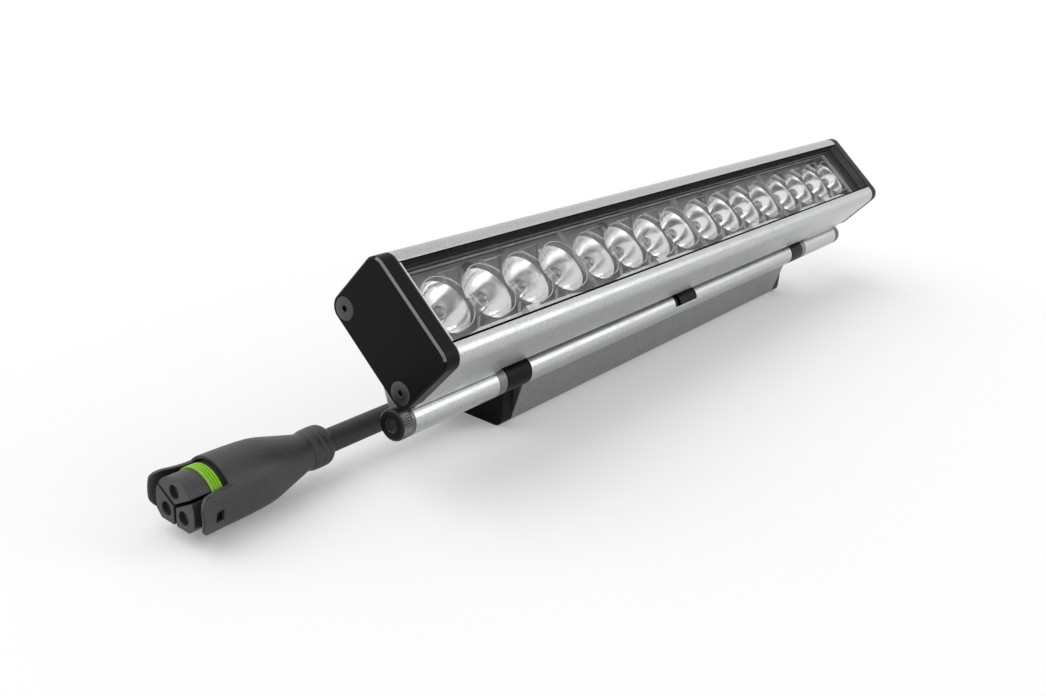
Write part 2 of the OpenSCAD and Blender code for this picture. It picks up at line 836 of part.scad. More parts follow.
module knurl_outline() {
    step = 360 / knurl_count;
    polygon([
        for (i = [0 : knurl_count - 1], k = [0, 1])
            let (r = clamp_head_r - k * knurl_depth, a = (i + k / 2) * step) [r * cos(a), r * sin(a)]
    ]);
}

// Clamp screw: knurled cap head with a six-sided socket, and a long shank
module clamp_screw() {
    under = -clamp_face + clamp_head_l;
    lip = 0.12 * clamp_head_l;
    difference() {
        union() {
            along_x(-clamp_face + lip, under) knurl_outline();
            rod_x(-clamp_face, -clamp_face + lip + fit_gap, clamp_head_r - 2 * knurl_depth);
            rod_x(under - fit_gap, -clamp_tip, pivot_r);
        }
        along_x(-clamp_face - cut, -clamp_face + clamp_key_depth) circle(r = clamp_key / sqrt(3), $fn = 6);
    }
}

module clamp_screw_near() {
    color(GREY_STEEL) on_hinge() clamp_screw();
}

module clamp_screw_far() {
    color(GREY_STEEL) on_hinge() to_far() clamp_screw();
}

module spacer() {
    tube_x(-barrel_in + fit_gap, -knuckle_out, barrel_r - fit_gap, pivot_r + slip_gap);
}

module spacer_near() {
    color("silver") on_hinge() spacer();
}

module spacer_far() {
    color("silver") on_hinge() to_far() spacer();
}

module knuckle_nut() {
    tube_x(-knuckle_out, -knuckle_out + knuckle_nut_l, knuckle_nut_r, pivot_r + fit_gap);
}

module knuckle_nut_near() {
    color(BRASS) on_hinge() knuckle_nut();
}

module knuckle_nut_far() {
    color(BRASS) on_hinge() to_far() knuckle_nut();
}

// Base

module base_outline() {
    translate([-base_d / 2, 0]) round_rect(base_d, base_h, base_r);
}

module base_inner_outline() {
    translate([-inner_y, base_wall])
        round_rect(2 * inner_y, base_h - 2 * base_wall, base_r - base_wall / 2);
}

module base_section() {
    difference() {
        union() {
            base_outline();
            translate([hinge_y, hinge_z]) circle(barrel_r);
        }
        base_inner_outline();
        translate([hinge_y, hinge_z]) circle(base_bore_r);
    }
    at_places(base_screw_places) circle(base_boss_r);
    rib_w = groove_d + base_wall / 2;
    rib_mid = inner_y - groove_d + rib_w / 2;
    for (side = [-1, 1], z = [driver_z - rib_t, driver_z + driver_t + slip_gap])
        translate([side * rib_mid - rib_w / 2, z]) square([rib_w, rib_t]);
}

module base_profile() {
    depth = cap_screw_l + cut;
    color(ALUMINIUM) difference() {
        along_x(-base_end, base_end) base_section();
        for (p = base_screw_places, x = [-base_end - cut, base_end - depth])
            translate([0, p[0], p[1]]) rod_x(x, x + depth + cut, cap_screw_r + fit_gap);
        on_hinge() notch_space();
        for (x = [-mount_x, mount_x]) translate([x, 0, -cut])
            cylinder(r = mount_outer_r, h = base_wall + 2 * cut);
        translate([link_turn_x, hinge_y, hinge_z - link_drop]) rotate([-90, 0, 0])
            cylinder(r = link_bore_r, h = hinge_out + base_wall + cut);
    }
}

// Notch in the middle of the base's barrel, where the lead leaves the hinge axis
module notch_space() {
    intersection() {
        rod_x(-notch_w / 2, notch_w / 2, notch_r);
        translate([-notch_w, -notch_r - cut, notch_floor])
            cube([2 * notch_w, 2 * (notch_r + cut), notch_r + cut]);
    }
}

// The insert fills the notch, apart from a slot in which the lead swings
module centre_insert() {
    slot_w_x = 2 * (link_r + seat_gap);
    slot_back = link_up_s + link_r;
    color(BLACK) difference() {
        along_x(-notch_w / 2 + fit_gap, notch_w / 2 - fit_gap) intersection() {
            union() {
                base_outline();
                translate([hinge_y, hinge_z]) circle(barrel_r - insert_set);
            }
            translate([hinge_y, hinge_z]) circle(notch_r - fit_gap);
            translate([hinge_y - notch_r, hinge_z + notch_floor]) square([2 * notch_r, notch_r]);
        }
        on_hinge() rod_x(-notch_w, notch_w, link_bore_r);
        translate([link_x - slot_w_x / 2, hinge_y - notch_r - cut, hinge_z])
            cube([slot_w_x, notch_r + cut + slot_back, notch_r + cut]);
    }
}

module link_lead_base() {
    color(RUBBER) sweep(link_route_base, link_r);
}

module base_cap(has_gland) {
    difference() {
        union() {
            along_x(-base_cap_out, -base_cap_in) base_outline();
            on_hinge() rod_x(-knuckle_out, -base_cap_in, barrel_r);
        }
        on_hinge() rod_x(-knuckle_out - cut, -knuckle_out + knuckle_nut_l, knuckle_nut_r + fit_gap / 2);
        on_hinge() rod_x(-knuckle_out, -clamp_tip + seat_gap, pivot_r + slip_gap);
        for (p = base_screw_places) translate([-base_cap_out, p[0], p[1]])
            csk_space(base_screw_head_r, cap_screw_r, base_cap_t + cut);
        if (has_gland) translate([0, 0, cable_z])
            rod_x(-base_cap_out - cut, -base_cap_in + cut, gland_thread_r + fit_gap);
    }
}

module base_cap_near() {
    color(BLACK) base_cap(true);
}

module base_cap_far() {
    color(BLACK) to_far() base_cap(false);
}

module base_gasket() {
    along_x(-base_cap_in, -base_end) difference() {
        union() {
            difference() {
                base_outline();
                base_inner_outline();
            }
            at_places(base_screw_places) circle(base_boss_r);
        }
        at_places(base_screw_places) circle(cap_screw_r + slip_gap);
    }
}

module base_gasket_near() {
    color(RUBBER) base_gasket();
}

module base_gasket_far() {
    color(RUBBER) to_far() base_gasket();
}

module base_cap_screw_set() {
    for (p = base_screw_places) translate([-base_cap_out, p[0], p[1]])
        csk_screw(base_screw_head_r, cap_screw_r, cap_screw_l, cap_screw_key);
}

module base_cap_screws() {
    color(GREY_STEEL) {
        base_cap_screw_set();
        to_far() base_cap_screw_set();
    }
}

module mount_inserts() {
    color(BRASS) for (x = [-mount_x, mount_x]) translate([x, 0, 0])
        difference() {
            cylinder(r = mount_outer_r, h = mount_depth + mount_end_t);
            translate([0, 0, -cut]) cylinder(r = mount_r, h = mount_depth + cut);
        }
}

// Driver

module driver_board() {
    color("darkgreen") translate([-driver_l / 2, -driver_w / 2, driver_z])
        cube([driver_l, driver_w, driver_t]);
}

module driver_choke() {
    waist = choke_waist_share * choke_r;
    color("saddlebrown") translate([choke_x, 0, driver_top]) rotate_extrude() polygon([
        [0, 0], [choke_r, 0], [choke_r, 0.16 * choke_h], [waist, 0.2 * choke_h],
        [waist, 0.8 * choke_h], [choke_r, 0.84 * choke_h], [choke_r, choke_h], [0, choke_h]
    ]);
}

module driver_capacitors() {
    color("navy") for (p = capacitor_places) translate([p[0], p[1], driver_top + capacitor_r])
        rod_x(0, capacitor_l, capacitor_r);
}

module driver_chips() {
    color(BLACK) for (p = chip_places)
        translate([p[0], p[1], driver_top]) translate([-chip_side / 2, -chip_side / 2, 0])
            cube([chip_side, chip_side, chip_t]);
}

module terminal_block() {
    color("ivory") translate([-driver_l / 2 + tail_l / 4, -terminal_w / 2, driver_top])
        cube([terminal_l, terminal_w, terminal_h]);
}

module output_socket() {
    color("ivory") translate([link_turn_x - output_h / 2, output_y - output_h / 2, driver_top])
        cube([output_h, output_h, output_h]);
}

// Cable and gland

module gland_body() {
    hex_end = -base_cap_out - gland_hex_l;
    nose = gland_out + 0.2 * gland_l;
    color(BLACK) translate([0, 0, cable_z]) difference() {
        union() {
            along_x(hex_end, -base_cap_out) circle(r = gland_r, $fn = 6);
            rod_x(nose, hex_end + fit_gap, gland_r - plug_wall);
            rod_x(-base_cap_out - fit_gap, -base_end + gland_lock_t + slip_gap, gland_thread_r);
        }
        rod_x(nose - cut, -base_end + gland_lock_t + cut, cable_r + slip_gap);
        rod_x(nose - cut, hex_end - gland_hex_l / 2, cable_r + plug_wall / 2);
    }
}

module gland_nut() {
    hex_end = -base_cap_out - gland_hex_l;
    nose = gland_out + 0.2 * gland_l;
    color(BLACK) translate([0, 0, cable_z]) turned_x([
        [hex_end - slip_gap, gland_r - plug_wall + slip_gap], [hex_end - slip_gap, gland_r],
        [gland_out + 0.35 * gland_l, gland_r], [gland_out, gland_r - plug_wall],
        [gland_out, cable_r + slip_gap], [nose - slip_gap, cable_r + slip_gap],
        [nose - slip_gap, gland_r - plug_wall + slip_gap]
    ]);
}

module gland_seal() {
    hex_end = -base_cap_out - gland_hex_l;
    nose = gland_out + 0.2 * gland_l;
    color(RUBBER) translate([0, 0, cable_z])
        tube_x(nose, hex_end - gland_hex_l / 2 - slip_gap, cable_r + plug_wall / 2, cable_r);
}

module gland_lock_nut() {
    color("silver") translate([0, 0, cable_z])
        along_x(-base_cap_in, -base_cap_in + gland_lock_t) difference() {
            circle(r = gland_thread_r + plug_wall, $fn = 6);
            circle(gland_thread_r + fit_gap);
        }
}

// The end of the cable's jacket inside the gland
module cable_tail() {
    color(RUBBER) translate([0, 0, cable_z]) rod_x(gland_out, -base_end + tail_l, cable_r);
}

module input_cores() {
    tail_end = -base_end + tail_l;
    block_face = -driver_l / 2 + tail_l / 4;
    rise = (block_face - tail_end) / 3;
    entry_z = driver_top + terminal_h / 2;
    start_y = 2.4 * core_r;
    start_z = cable_z + 2 * core_r;
    color("brown") for (k = [-1, 0, 1]) sweep([
        [tail_end, k * start_y, start_z], [tail_end + rise / 2, k * start_y, start_z],
        [block_face - rise, k * core_pitch, entry_z], [block_face, k * core_pitch, entry_z]
    ], core_r);
}

// The free cable, with a ring at every few points of its route
module power_cable() {
    stops = [for (i = [0 : cable_ring_step : len(cable_route) - 1]) cable_route[i]];
    color(BLACK) sweep(stops, cable_r);
}

// Plug

module plug_housing() {
    reach = plug_r + wing_flare + cut;
    color(BLACK) in_plug() difference() {
        turned_x([
            [0, mouth_r + wing_flare], [0, plug_r + wing_flare - wing_t / 3],
            [wing_t / 3, plug_r + wing_flare], [0.25 * wing_l, plug_r + 0.56 * wing_flare],
            [0.5 * wing_l, plug_r + 0.25 * wing_flare], [wing_l, plug_r], [body_full_l / 2, plug_r],
            [body_full_l, body_taper_share * plug_r],
            [body_neck_l - 1.5 * plug_wall, body_neck_r + plug_wall / 3], [body_neck_l, body_neck_r],
            [plug_l - collar_l, body_neck_r], [plug_l - collar_l, cable_r + slip_gap],
            [body_neck_l - plug_wall, cable_r + slip_gap], [body_full_l, plug_r - 2 * plug_wall],
            [mouth_l, plug_r - 2 * plug_wall], [mouth_l, mouth_r], [wing_l, mouth_r],
            [0.5 * wing_l, mouth_r + 0.25 * wing_flare], [0.25 * wing_l, mouth_r + 0.56 * wing_flare]
        ]);
        difference() {
            translate([-cut, -reach, -reach]) cube([wing_l + cut, 2 * reach, 2 * reach]);
            rotate([90, 0, 0]) translate([0, -wing_h / 2, -reach - cut])
                linear_extrude(2 * (reach + cut)) round_rect(wing_l + wing_h, wing_h, wing_r);
        }
        translate([latch_back, -reach, -latch_drop - latch_h / 2])
            cube([latch_w, 2 * reach, latch_h]);
    }
}

function socket_places() = [for (a = [90, 210, 330]) [socket_out * cos(a), socket_out * sin(a)]];

// Insert: three shrouds split by a three-armed slot, round on top and flat below
module insert_outline() {
    intersection() {
        circle(insert_r);
        translate([-insert_r, -insert_flat]) square([2 * insert_r, 2 * insert_r]);
        polygon([
            [-insert_r, 2 * insert_r], [insert_r, 2 * insert_r], [insert_r, -0.42 * insert_r],
            [0.68 * insert_r, -insert_flat], [-0.68 * insert_r, -insert_flat], [-insert_r, -0.42 * insert_r]
        ]);
    }
}

module plug_insert() {
    color(BLACK) in_plug() difference() {
        union() {
            along_x(0, insert_l) insert_outline();
            rod_x(insert_l - 0.4 * plug_wall, mouth_l, mouth_r - slip_gap);
        }
        for (a = [30, 150, 270]) rotate([a, 0, 0]) translate([-cut, 0, -slot_w / 2])
            cube([slot_depth + cut, 2 * insert_r, slot_w]);
        for (p = socket_places()) translate([0, p[0], p[1]]) {
            rod_x(-cut, contact_in, socket_r);
            rod_x(0, mouth_l + cut, contact_r + fit_gap);
        }
    }
}

module plug_contacts() {
    color(BRASS) in_plug() for (p = socket_places()) translate([0, p[0], p[1]]) difference() {
        rod_x(contact_in + slip_gap, contact_in + contact_l, contact_r);
        rod_x(contact_in - cut, contact_in + 0.7 * contact_l, contact_r - contact_wall);
    }
}

module code_ring() {
    color("yellowgreen") in_plug() difference() {
        tube_x(ring_back, ring_back + ring_w, insert_r + ring_t, insert_r + fit_gap / 2);
        for (share = ring_groove_shares) translate([ring_back + share * ring_w, 0, 0])
            tube_x(0, ring_groove_w_share * ring_w, insert_r + ring_t + cut, insert_r + 0.7 * ring_t);
    }
}

module plug_seal() {
    color(RUBBER) in_plug()
        tube_x(
            wing_l + seal_ring_w / 2, wing_l + 1.5 * seal_ring_w, insert_r + seal_ring_r - slip_gap,
            insert_r + fit_gap / 2
        );
}

module plug_collar() {
    start = plug_l - collar_l;
    round_l = 0.14 * collar_l;
    color(BLACK) in_plug() turned_x([
        [start, cable_r + slip_gap], [start, collar_r - collar_groove], [start + round_l, collar_r],
        [start + 3 * round_l, collar_r], [start + 3.4 * round_l, collar_r - collar_groove],
        [start + 3.8 * round_l, collar_r], [plug_l - 1.4 * round_l, collar_r],
        [plug_l - 0.5 * round_l, collar_r - 0.6 * round_l], [plug_l, collar_r - 1.3 * round_l],
        [plug_l, cable_r + slip_gap]
    ]);
}

module plug_cable_end() {
    color(RUBBER) in_plug() rod_x(plug_l - plug_jacket_l, plug_l, cable_r);
}

module plug_cores() {
    start = contact_in + contact_l;
    end = plug_l - plug_jacket_l;
    near_share = 0.45;
    color("brown") in_plug() for (p = socket_places()) sweep([
        [start, p[0], p[1]], [start + (end - start) / 3, p[0], p[1]],
        [end - core_r, near_share * p[0], near_share * p[1]], [end, near_share * p[0], near_share * p[1]]
    ], core_r);
}

head_profile();
head_cap_near();
head_cap_far();
head_gasket_near();
head_gasket_far();
head_cap_screws();
front_cover();
cover_seal();
lens_array_1();
lens_array_2();
lens_array_3();
lens_array_4();
led_board();
leds();
heat_pad();
board_screws();
head_socket();
head_grommet();
link_lead_head();
pivot_bush_near();
pivot_bush_far();
lock_washer_near();
lock_washer_far();
clamp_screw_near();
clamp_screw_far();
base_profile();
base_cap_near();
base_cap_far();
base_gasket_near();
base_gasket_far();
base_cap_screws();
knuckle_nut_near();
knuckle_nut_far();
spacer_near();
spacer_far();
centre_insert();
link_lead_base();
mount_inserts();
driver_board();
driver_choke();
driver_capacitors();
driver_chips();
terminal_block();
output_socket();
gland_body();
gland_nut();
gland_seal();
gland_lock_nut();
cable_tail();
input_cores();
power_cable();
plug_housing();
plug_insert();
plug_contacts();
code_ring();
plug_seal();
plug_collar();
plug_cable_end();
plug_cores();
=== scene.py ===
import math

import bmesh
import bpy
from mathutils import Matrix, Vector


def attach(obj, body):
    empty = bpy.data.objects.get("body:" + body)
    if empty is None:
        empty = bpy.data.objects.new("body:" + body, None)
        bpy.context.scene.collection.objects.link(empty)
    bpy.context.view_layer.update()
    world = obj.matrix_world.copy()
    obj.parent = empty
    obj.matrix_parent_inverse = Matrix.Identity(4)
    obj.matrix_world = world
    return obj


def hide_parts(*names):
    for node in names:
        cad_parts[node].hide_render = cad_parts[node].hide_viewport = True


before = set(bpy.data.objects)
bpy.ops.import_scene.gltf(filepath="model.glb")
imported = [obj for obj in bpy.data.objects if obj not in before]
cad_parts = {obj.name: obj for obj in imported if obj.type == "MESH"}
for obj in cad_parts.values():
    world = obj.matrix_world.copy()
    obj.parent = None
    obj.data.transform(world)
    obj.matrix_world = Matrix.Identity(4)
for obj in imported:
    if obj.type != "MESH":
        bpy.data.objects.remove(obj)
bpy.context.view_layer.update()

MM = 0.001

# Stations along X, measured from the middle
HEAD_END = 152.5
CAP_IN = 147.5
METAL_END = 147.0
BARREL_IN = 111.5
KNUCKLE_OUT = 107.7
BASE_END = 95.9
BASE_CAP_IN = 96.4
BASE_CAP_OUT = 101.4
CLAMP_FACE = 151.85
CLAMP_UNDER = 148.15
SHAFT_END = 98.85
SPACER_OUT = 111.42

# Hinge axis and head
HINGE_Y = -17.85
HINGE_Z = 18.4
REST_TILT = 40
HEAD_W = 35.6
HEAD_BACK = 5.8
HEAD_FACE = 30.4
HEAD_R = 4.0
WALL = 2.0
WINDOW_LOW = 5.4
WINDOW_TOP = 30.7
LEDGE_W = 1.3
LEDGE_N = 25.2
SEAL_N = 26.4
SHELF_N = 13.1
PANE_N = 27.2
PANE_TOP = 30.2
BARREL_R = 4.6
CAP_SCREWS = [(4.3, 10.15), (31.3, 10.15)]
PANE_X = [-METAL_END + 0.1, -METAL_END + 0.75, METAL_END - 0.1]

# Base
BASE_D = 32.5
BASE_H = 22.4
BASE_R = 2.5
BASE_SCREWS = [(-9, 18.2), (12.1, 18.2), (12.1, 4.2)]

# Optics
LENS_COUNT = 16
LENS_PITCH = 17.9
LENS_R = 8.6
LENS_MID = 18.05
BOARD_N = 15.1
PLATE_LOW = 23.1
PLATE_TOP = 24.6
PLATE_S = (6.45, 29.65)
ARRAY_L = 71.2
CLIP_EDGE = 11.35
CLIP_HALF = 3

# Cable and plug
CABLE_Z = 9.3
CABLE_R = 3.4
CABLE_X = [-114 - 3 * k for k in range(16)]
PLUG_TIP = -205.8
WING_L = 9.9
WING_FLARE = 1.9

# Screws in the end caps
HEAD_SCREW_R = 3.35
BASE_SCREW_R = 2.9
SCREW_SHANK_R = 1.45
SCREW_FLATS = 1.6
SCREW_L = 14

# Camera, solved from the photograph's straight edges, and light levels
CAMERA_TURNS = (54.571, 21.537, 4.8)
CAMERA_SPOT = (-332.016, -186.157, 139.784)
CAMERA_LENS = 35.71
WORLD_LIGHT = 0.55
BACKGROUND_LIGHT = 1.0
FLOOR_WHITE = 0.8
FLOOR_GLOW = 0.185

BASE = Matrix.Scale(MM, 4)
ON_HINGE = BASE @ Matrix.Translation((0, HINGE_Y, HINGE_Z))
IN_HEAD = ON_HINGE @ Matrix.Rotation(math.radians(REST_TILT), 4, "X")
IN_PLUG = BASE @ Matrix.Translation((PLUG_TIP, 0, CABLE_Z))
NEAR = Matrix.Identity(4)
FAR = Matrix.Scale(-1, 4, (1, 0, 0))
ENDS = (("near", NEAR), ("far", FAR))


# Camera
def place_camera():
    """Sets up the photograph's camera."""
    yaw, pitch, roll = (math.radians(a) for a in CAMERA_TURNS)
    axes = Matrix(((1, 0, 0), (0, 0, -1), (0, 1, 0)))
    about_z = Matrix.Rotation(yaw, 3, "Z")
    about_x = Matrix.Rotation(pitch, 3, "X")
    rolled = Matrix.Rotation(roll, 3, "Z")
    world_to_camera = rolled @ about_x @ axes @ about_z
    right, down, ahead = (world_to_camera[i] for i in range(3))
    rotation = Matrix((right, -down, -ahead)).transposed()
    data = bpy.data.cameras.new("camera")
    data.lens = CAMERA_LENS
    data.sensor_width = 36
    data.clip_start = 0.01
    data.clip_end = 20
    camera = bpy.data.objects.new("camera", data)
    bpy.context.scene.collection.objects.link(camera)
    camera.matrix_world = (
        Matrix.Translation(Vector(CAMERA_SPOT) * MM) @ rotation.to_4x4()
    )
    bpy.context.scene.camera = camera


place_camera()


# Materials
def node_of(tree, kind, **values):
    """Adds a node and sets its inputs or settings by name."""
    node = tree.nodes.new(kind)
    for name, value in values.items():
        if name in node.inputs:
            node.inputs[name].default_value = value
        else:
            setattr(node, name, value)
    return node


def noise_of(tree, coord, scale, stretch, detail=3.0):
    """Adds noise in the piece's own space."""
    mapping = node_of(tree, "ShaderNodeMapping", Scale=stretch)
    tree.links.new(coord.outputs["Object"], mapping.inputs["Vector"])
    noise = node_of(tree, "ShaderNodeTexNoise", Scale=scale, Detail=detail)
    tree.links.new(mapping.outputs["Vector"], noise.inputs["Vector"])
    return noise


def material(name, light, dark, rough, grain, relief, stretch=(1, 1, 1), **fixed):
    """A surface whose colour, roughness and relief in mm come from procedural grain."""
    mat = bpy.data.materials.new(name)
    mat.use_nodes = True
    tree = mat.node_tree
    shader = tree.nodes["Principled BSDF"]
    for key, value in fixed.items():
        shader.inputs[key.replace("_", " ")].default_value = value
    coord = tree.nodes.new("ShaderNodeTexCoord")
    fine = noise_of(tree, coord, grain, stretch)
    broad = noise_of(tree, coord, grain / 24, (1, 1, 1), 2.0)
    ramp = tree.nodes.new("ShaderNodeValToRGB")
    ramp.color_ramp.elements[0].position = 0.3
    ramp.color_ramp.elements[1].position = 0.7
    ramp.color_ramp.elements[0].color = (*dark, 1)
    ramp.color_ramp.elements[1].color = (*light, 1)
    tree.links.new(fine.outputs["Fac"], ramp.inputs["Fac"])
    tree.links.new(ramp.outputs["Color"], shader.inputs["Base Color"])
    spread = tree.nodes.new("ShaderNodeMapRange")
    spread.inputs["From Min"].default_value = 0.3
    spread.inputs["From Max"].default_value = 0.7
    spread.inputs["To Min"].default_value = rough[0]
    spread.inputs["To Max"].default_value = rough[1]
    tree.links.new(broad.outputs["Fac"], spread.inputs["Value"])
    tree.links.new(spread.outputs["Result"], shader.inputs["Roughness"])
    if relief:
        bump = node_of(tree, "ShaderNodeBump", Strength=0.6, Distance=relief * MM)
        tree.links.new(fine.outputs["Fac"], bump.inputs["Height"])
        tree.links.new(bump.outputs["Normal"], shader.inputs["Normal"])
    return mat


def grey(value):
    return (value, value, value)


ALUMINIUM = material(
    "satin_aluminium", (0.53, 0.533, 0.537), (0.375, 0.378, 0.382), (0.26, 0.36), 2600, 0.02,
    stretch=(0.6, 1, 1), Metallic=1.0,
)
# A darker copy of the satin aluminium for the driver housing's box: painted shade.
BASE_ALUMINIUM_SHADE = material(
    "base_aluminium_painted_shade", (0.32, 0.322, 0.325), (0.21, 0.212, 0.215), (0.36, 0.46), 2600, 0.02,
    stretch=(0.6, 1, 1), Metallic=1.0,
)
# Dark grey painted shade for the inside of the head housing; the cap spigots and the pane's ends
# wear it too.
INSIDE_SHADE = material("head_inside_painted_shade", grey(0.10), grey(0.08), (0.45, 0.55), 1500, 0.01, Metallic=0.7)
CAP_BLACK = material(
    "cap_black", (0.006, 0.006, 0.0063), (0.004, 0.004, 0.0043), (0.34, 0.44), 1800, 0.015,
    Specular_IOR_Level=0.08,
)
# Lighter grey for the lens-side chamfer of the end caps: a painted highlight.
CAP_EDGE_HIGHLIGHT = material("cap_edge_painted_highlight", grey(0.16), grey(0.11), (0.28, 0.36), 1800, 0.01)
# Black for the window's bond and seal; on the light chamber's side walls it is painted shade.
BOND_AND_SHADE = material("edge_bond_and_painted_shade", grey(0.006), grey(0.004), (0.8, 0.9), 1200, 0, Specular_IOR_Level=0.0)
RUBBER = material("black_rubber", grey(0.014), grey(0.008), (0.6, 0.75), 1200, 0.02)
DARK_STEEL = material(
    "dark_steel", grey(0.09), grey(0.06), (0.3, 0.42), 2200, 0.02, Metallic=0.9
)
# The clamp knob's face wears a darker copy of its rim's steel: painted shade.
CLAMP_FACE_SHADE = material(
    "clamp_face_steel_painted_shade", grey(0.036), grey(0.02), (0.32, 0.45), 2400, 0.02, Metallic=0.9
)
CLAMP_STEEL = material(
    "clamp_rim_steel", grey(0.17), grey(0.08), (0.3, 0.42), 2400, 0.02, Metallic=0.9
)
LIGHT_STEEL = material("light_steel", grey(0.5), grey(0.36), (0.3, 0.4), 2200, 0.02, Metallic=1.0)
SPACER = material("spacer_grey", grey(0.21), grey(0.16), (0.4, 0.5), 2000, 0.02, Metallic=0.6)
GLASS = material(
    "clear_glass", grey(0.62), (0.54, 0.56, 0.55), (0.02, 0.05), 300, 0, Alpha=0.03,
)
ACRYLIC = material(
    "clear_acrylic", grey(0.62), grey(0.54), (0.03, 0.08), 400, 0, Alpha=0.04,
)
# Frosted finish of the lens plate; on the lens ring tops and the pane's near end it is a painted
# highlight.
FROSTED_AND_HIGHLIGHT = material(
    "frosted_acrylic_and_painted_highlight", grey(0.78), grey(0.56), (0.2, 0.3), 900, 0.02, Metallic=0.3
)
MIRROR_COAT = material(
    "mirror_coat", grey(0.98), grey(0.9), (0.14, 0.22), 700, 0.015, Metallic=0.8
)
# Greys on the clear pocket over each LED, its dome and its wall: painted shade.
LENS_CORE_SHADE = material("lens_core_painted_shade", grey(0.26), grey(0.18), (0.14, 0.22), 900, 0, Metallic=0.8)
POCKET_SHADE = material("lens_pocket_painted_shade", grey(0.4), grey(0.3), (0.25, 0.35), 900, 0, Metallic=0.9)
BOARD_WHITE = material("board_white", grey(0.72), grey(0.64), (0.4, 0.5), 900, 0.01)
LED = material("led_pale", (0.82, 0.78, 0.62), (0.70, 0.66, 0.52), (0.25, 0.35), 1500, 0.01)
PAD = material("pad_grey", grey(0.35), grey(0.28), (0.6, 0.7), 1500, 0.02)
IVORY = material("ivory_plastic", (0.72, 0.69, 0.58), (0.64, 0.61, 0.50), (0.35, 0.45), 1500, 0.01)
CABLE = material("cable_rubber", grey(0.027), grey(0.0145), (0.5, 0.62), 1500, 0.05)
# Darkened brass for the contacts deep in the socket holes: painted shade.
CONTACT_SHADE = material("contact_brass_painted_shade", (0.16, 0.11, 0.05), (0.1, 0.07, 0.03), (0.4, 0.5), 1800, 0)
BRASS = material(
    "brass", (0.78, 0.58, 0.25), (0.62, 0.44, 0.17), (0.25, 0.38), 1800, 0.02, Metallic=1.0
)
PLUG_BLACK = material("plug_black", grey(0.037), grey(0.022), (0.44, 0.54), 1800, 0.05)
RING_GREEN = material(
    "ring_green", (0.24, 0.53, 0.008), (0.19, 0.46, 0.005), (0.35, 0.45), 1200, 0.01
)
BOARD_GREEN = material(
    "board_green", (0.02, 0.13, 0.045), (0.012, 0.09, 0.03), (0.3, 0.4), 1200, 0.01
)
COPPER = material("choke_copper", (0.55, 0.22, 0.09), (0.38, 0.14, 0.05), (0.3, 0.42), 1600, 0.03)
CAPACITOR = material(
    "capacitor_blue", (0.03, 0.05, 0.18), (0.02, 0.035, 0.13), (0.3, 0.4), 900, 0.01
)
CHIP = material("chip_black", grey(0.02), grey(0.013), (0.5, 0.6), 1800, 0.02)
CORE = material("core_brown", (0.16, 0.07, 0.03), (0.11, 0.05, 0.02), (0.4, 0.5), 1200, 0.01)

# What each carried-over node wears
CAD_LOOKS = {
    "head_gasket_near": RUBBER, "head_gasket_far": RUBBER, "cover_seal": BOND_AND_SHADE,
    "head_cap_screws": DARK_STEEL, "led_board": BOARD_WHITE, "leds": LED, "heat_pad": PAD,
    "board_screws": LIGHT_STEEL, "head_socket": IVORY, "head_grommet": RUBBER,
    "link_lead_head": CABLE, "pivot_bush_near": BRASS, "pivot_bush_far": BRASS,
    "base_gasket_near": RUBBER, "base_gasket_far": RUBBER, "knuckle_nut_near": BRASS,
    "knuckle_nut_far": BRASS, "centre_insert": CAP_BLACK, "link_lead_base": CABLE,
    "mount_inserts": BRASS, "driver_board": BOARD_GREEN, "driver_choke": COPPER,
    "driver_capacitors": CAPACITOR, "driver_chips": CHIP, "terminal_block": IVORY,
    "output_socket": IVORY, "gland_body": PLUG_BLACK, "gland_nut": PLUG_BLACK,
    "gland_seal": RUBBER, "gland_lock_nut": LIGHT_STEEL, "cable_tail": CABLE,
    "input_cores": CORE, "plug_contacts": CONTACT_SHADE, "plug_seal": RUBBER, "plug_cable_end": CABLE,
    "plug_cores": CORE, "head_profile": ALUMINIUM, "head_cap_near": CAP_BLACK,
    "head_cap_far": CAP_BLACK, "front_cover": GLASS, "lens_array_1": ACRYLIC,
    "lens_array_2": ACRYLIC, "lens_array_3": ACRYLIC, "lens_array_4": ACRYLIC,
    "lock_washer_near": LIGHT_STEEL, "lock_washer_far": LIGHT_STEEL,
    "clamp_screw_near": CLAMP_STEEL, "clamp_screw_far": CLAMP_STEEL, "base_profile": ALUMINIUM,
    "base_cap_near": CAP_BLACK, "base_cap_far": CAP_BLACK, "base_cap_screws": DARK_STEEL,
    "spacer_near": SPACER, "spacer_far": SPACER, "power_cable": CABLE,
    "plug_housing": PLUG_BLACK, "plug_insert": PLUG_BLACK, "code_ring": RING_GREEN,
    "plug_collar": PLUG_BLACK,
}
for node_name, node_material in CAD_LOOKS.items():
    node_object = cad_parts[node_name]
    if not node_object.material_slots:
        node_object.data.materials.append(node_material)
    for material_slot in node_object.material_slots:
        material_slot.material = node_material


# The free cable
def make_cable():
    curve = bpy.data.curves.new("power_cable_jacket", "CURVE")
    curve.dimensions = "3D"
    spline = curve.splines.new("POLY")
    spline.points.add(len(CABLE_X) - 1)
    for point, x in zip(spline.points, CABLE_X):
        point.co = (x * MM, 0, CABLE_Z * MM, 1)
    curve.bevel_depth = CABLE_R * MM
    curve.bevel_resolution = 14
    curve.use_fill_caps = True
    cable = bpy.data.objects.new("power_cable_jacket", curve)
    bpy.context.scene.collection.objects.link(cable)
    cable.data.materials.append(CABLE)
    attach(cable, "base")
    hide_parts("power_cable")
    return cable


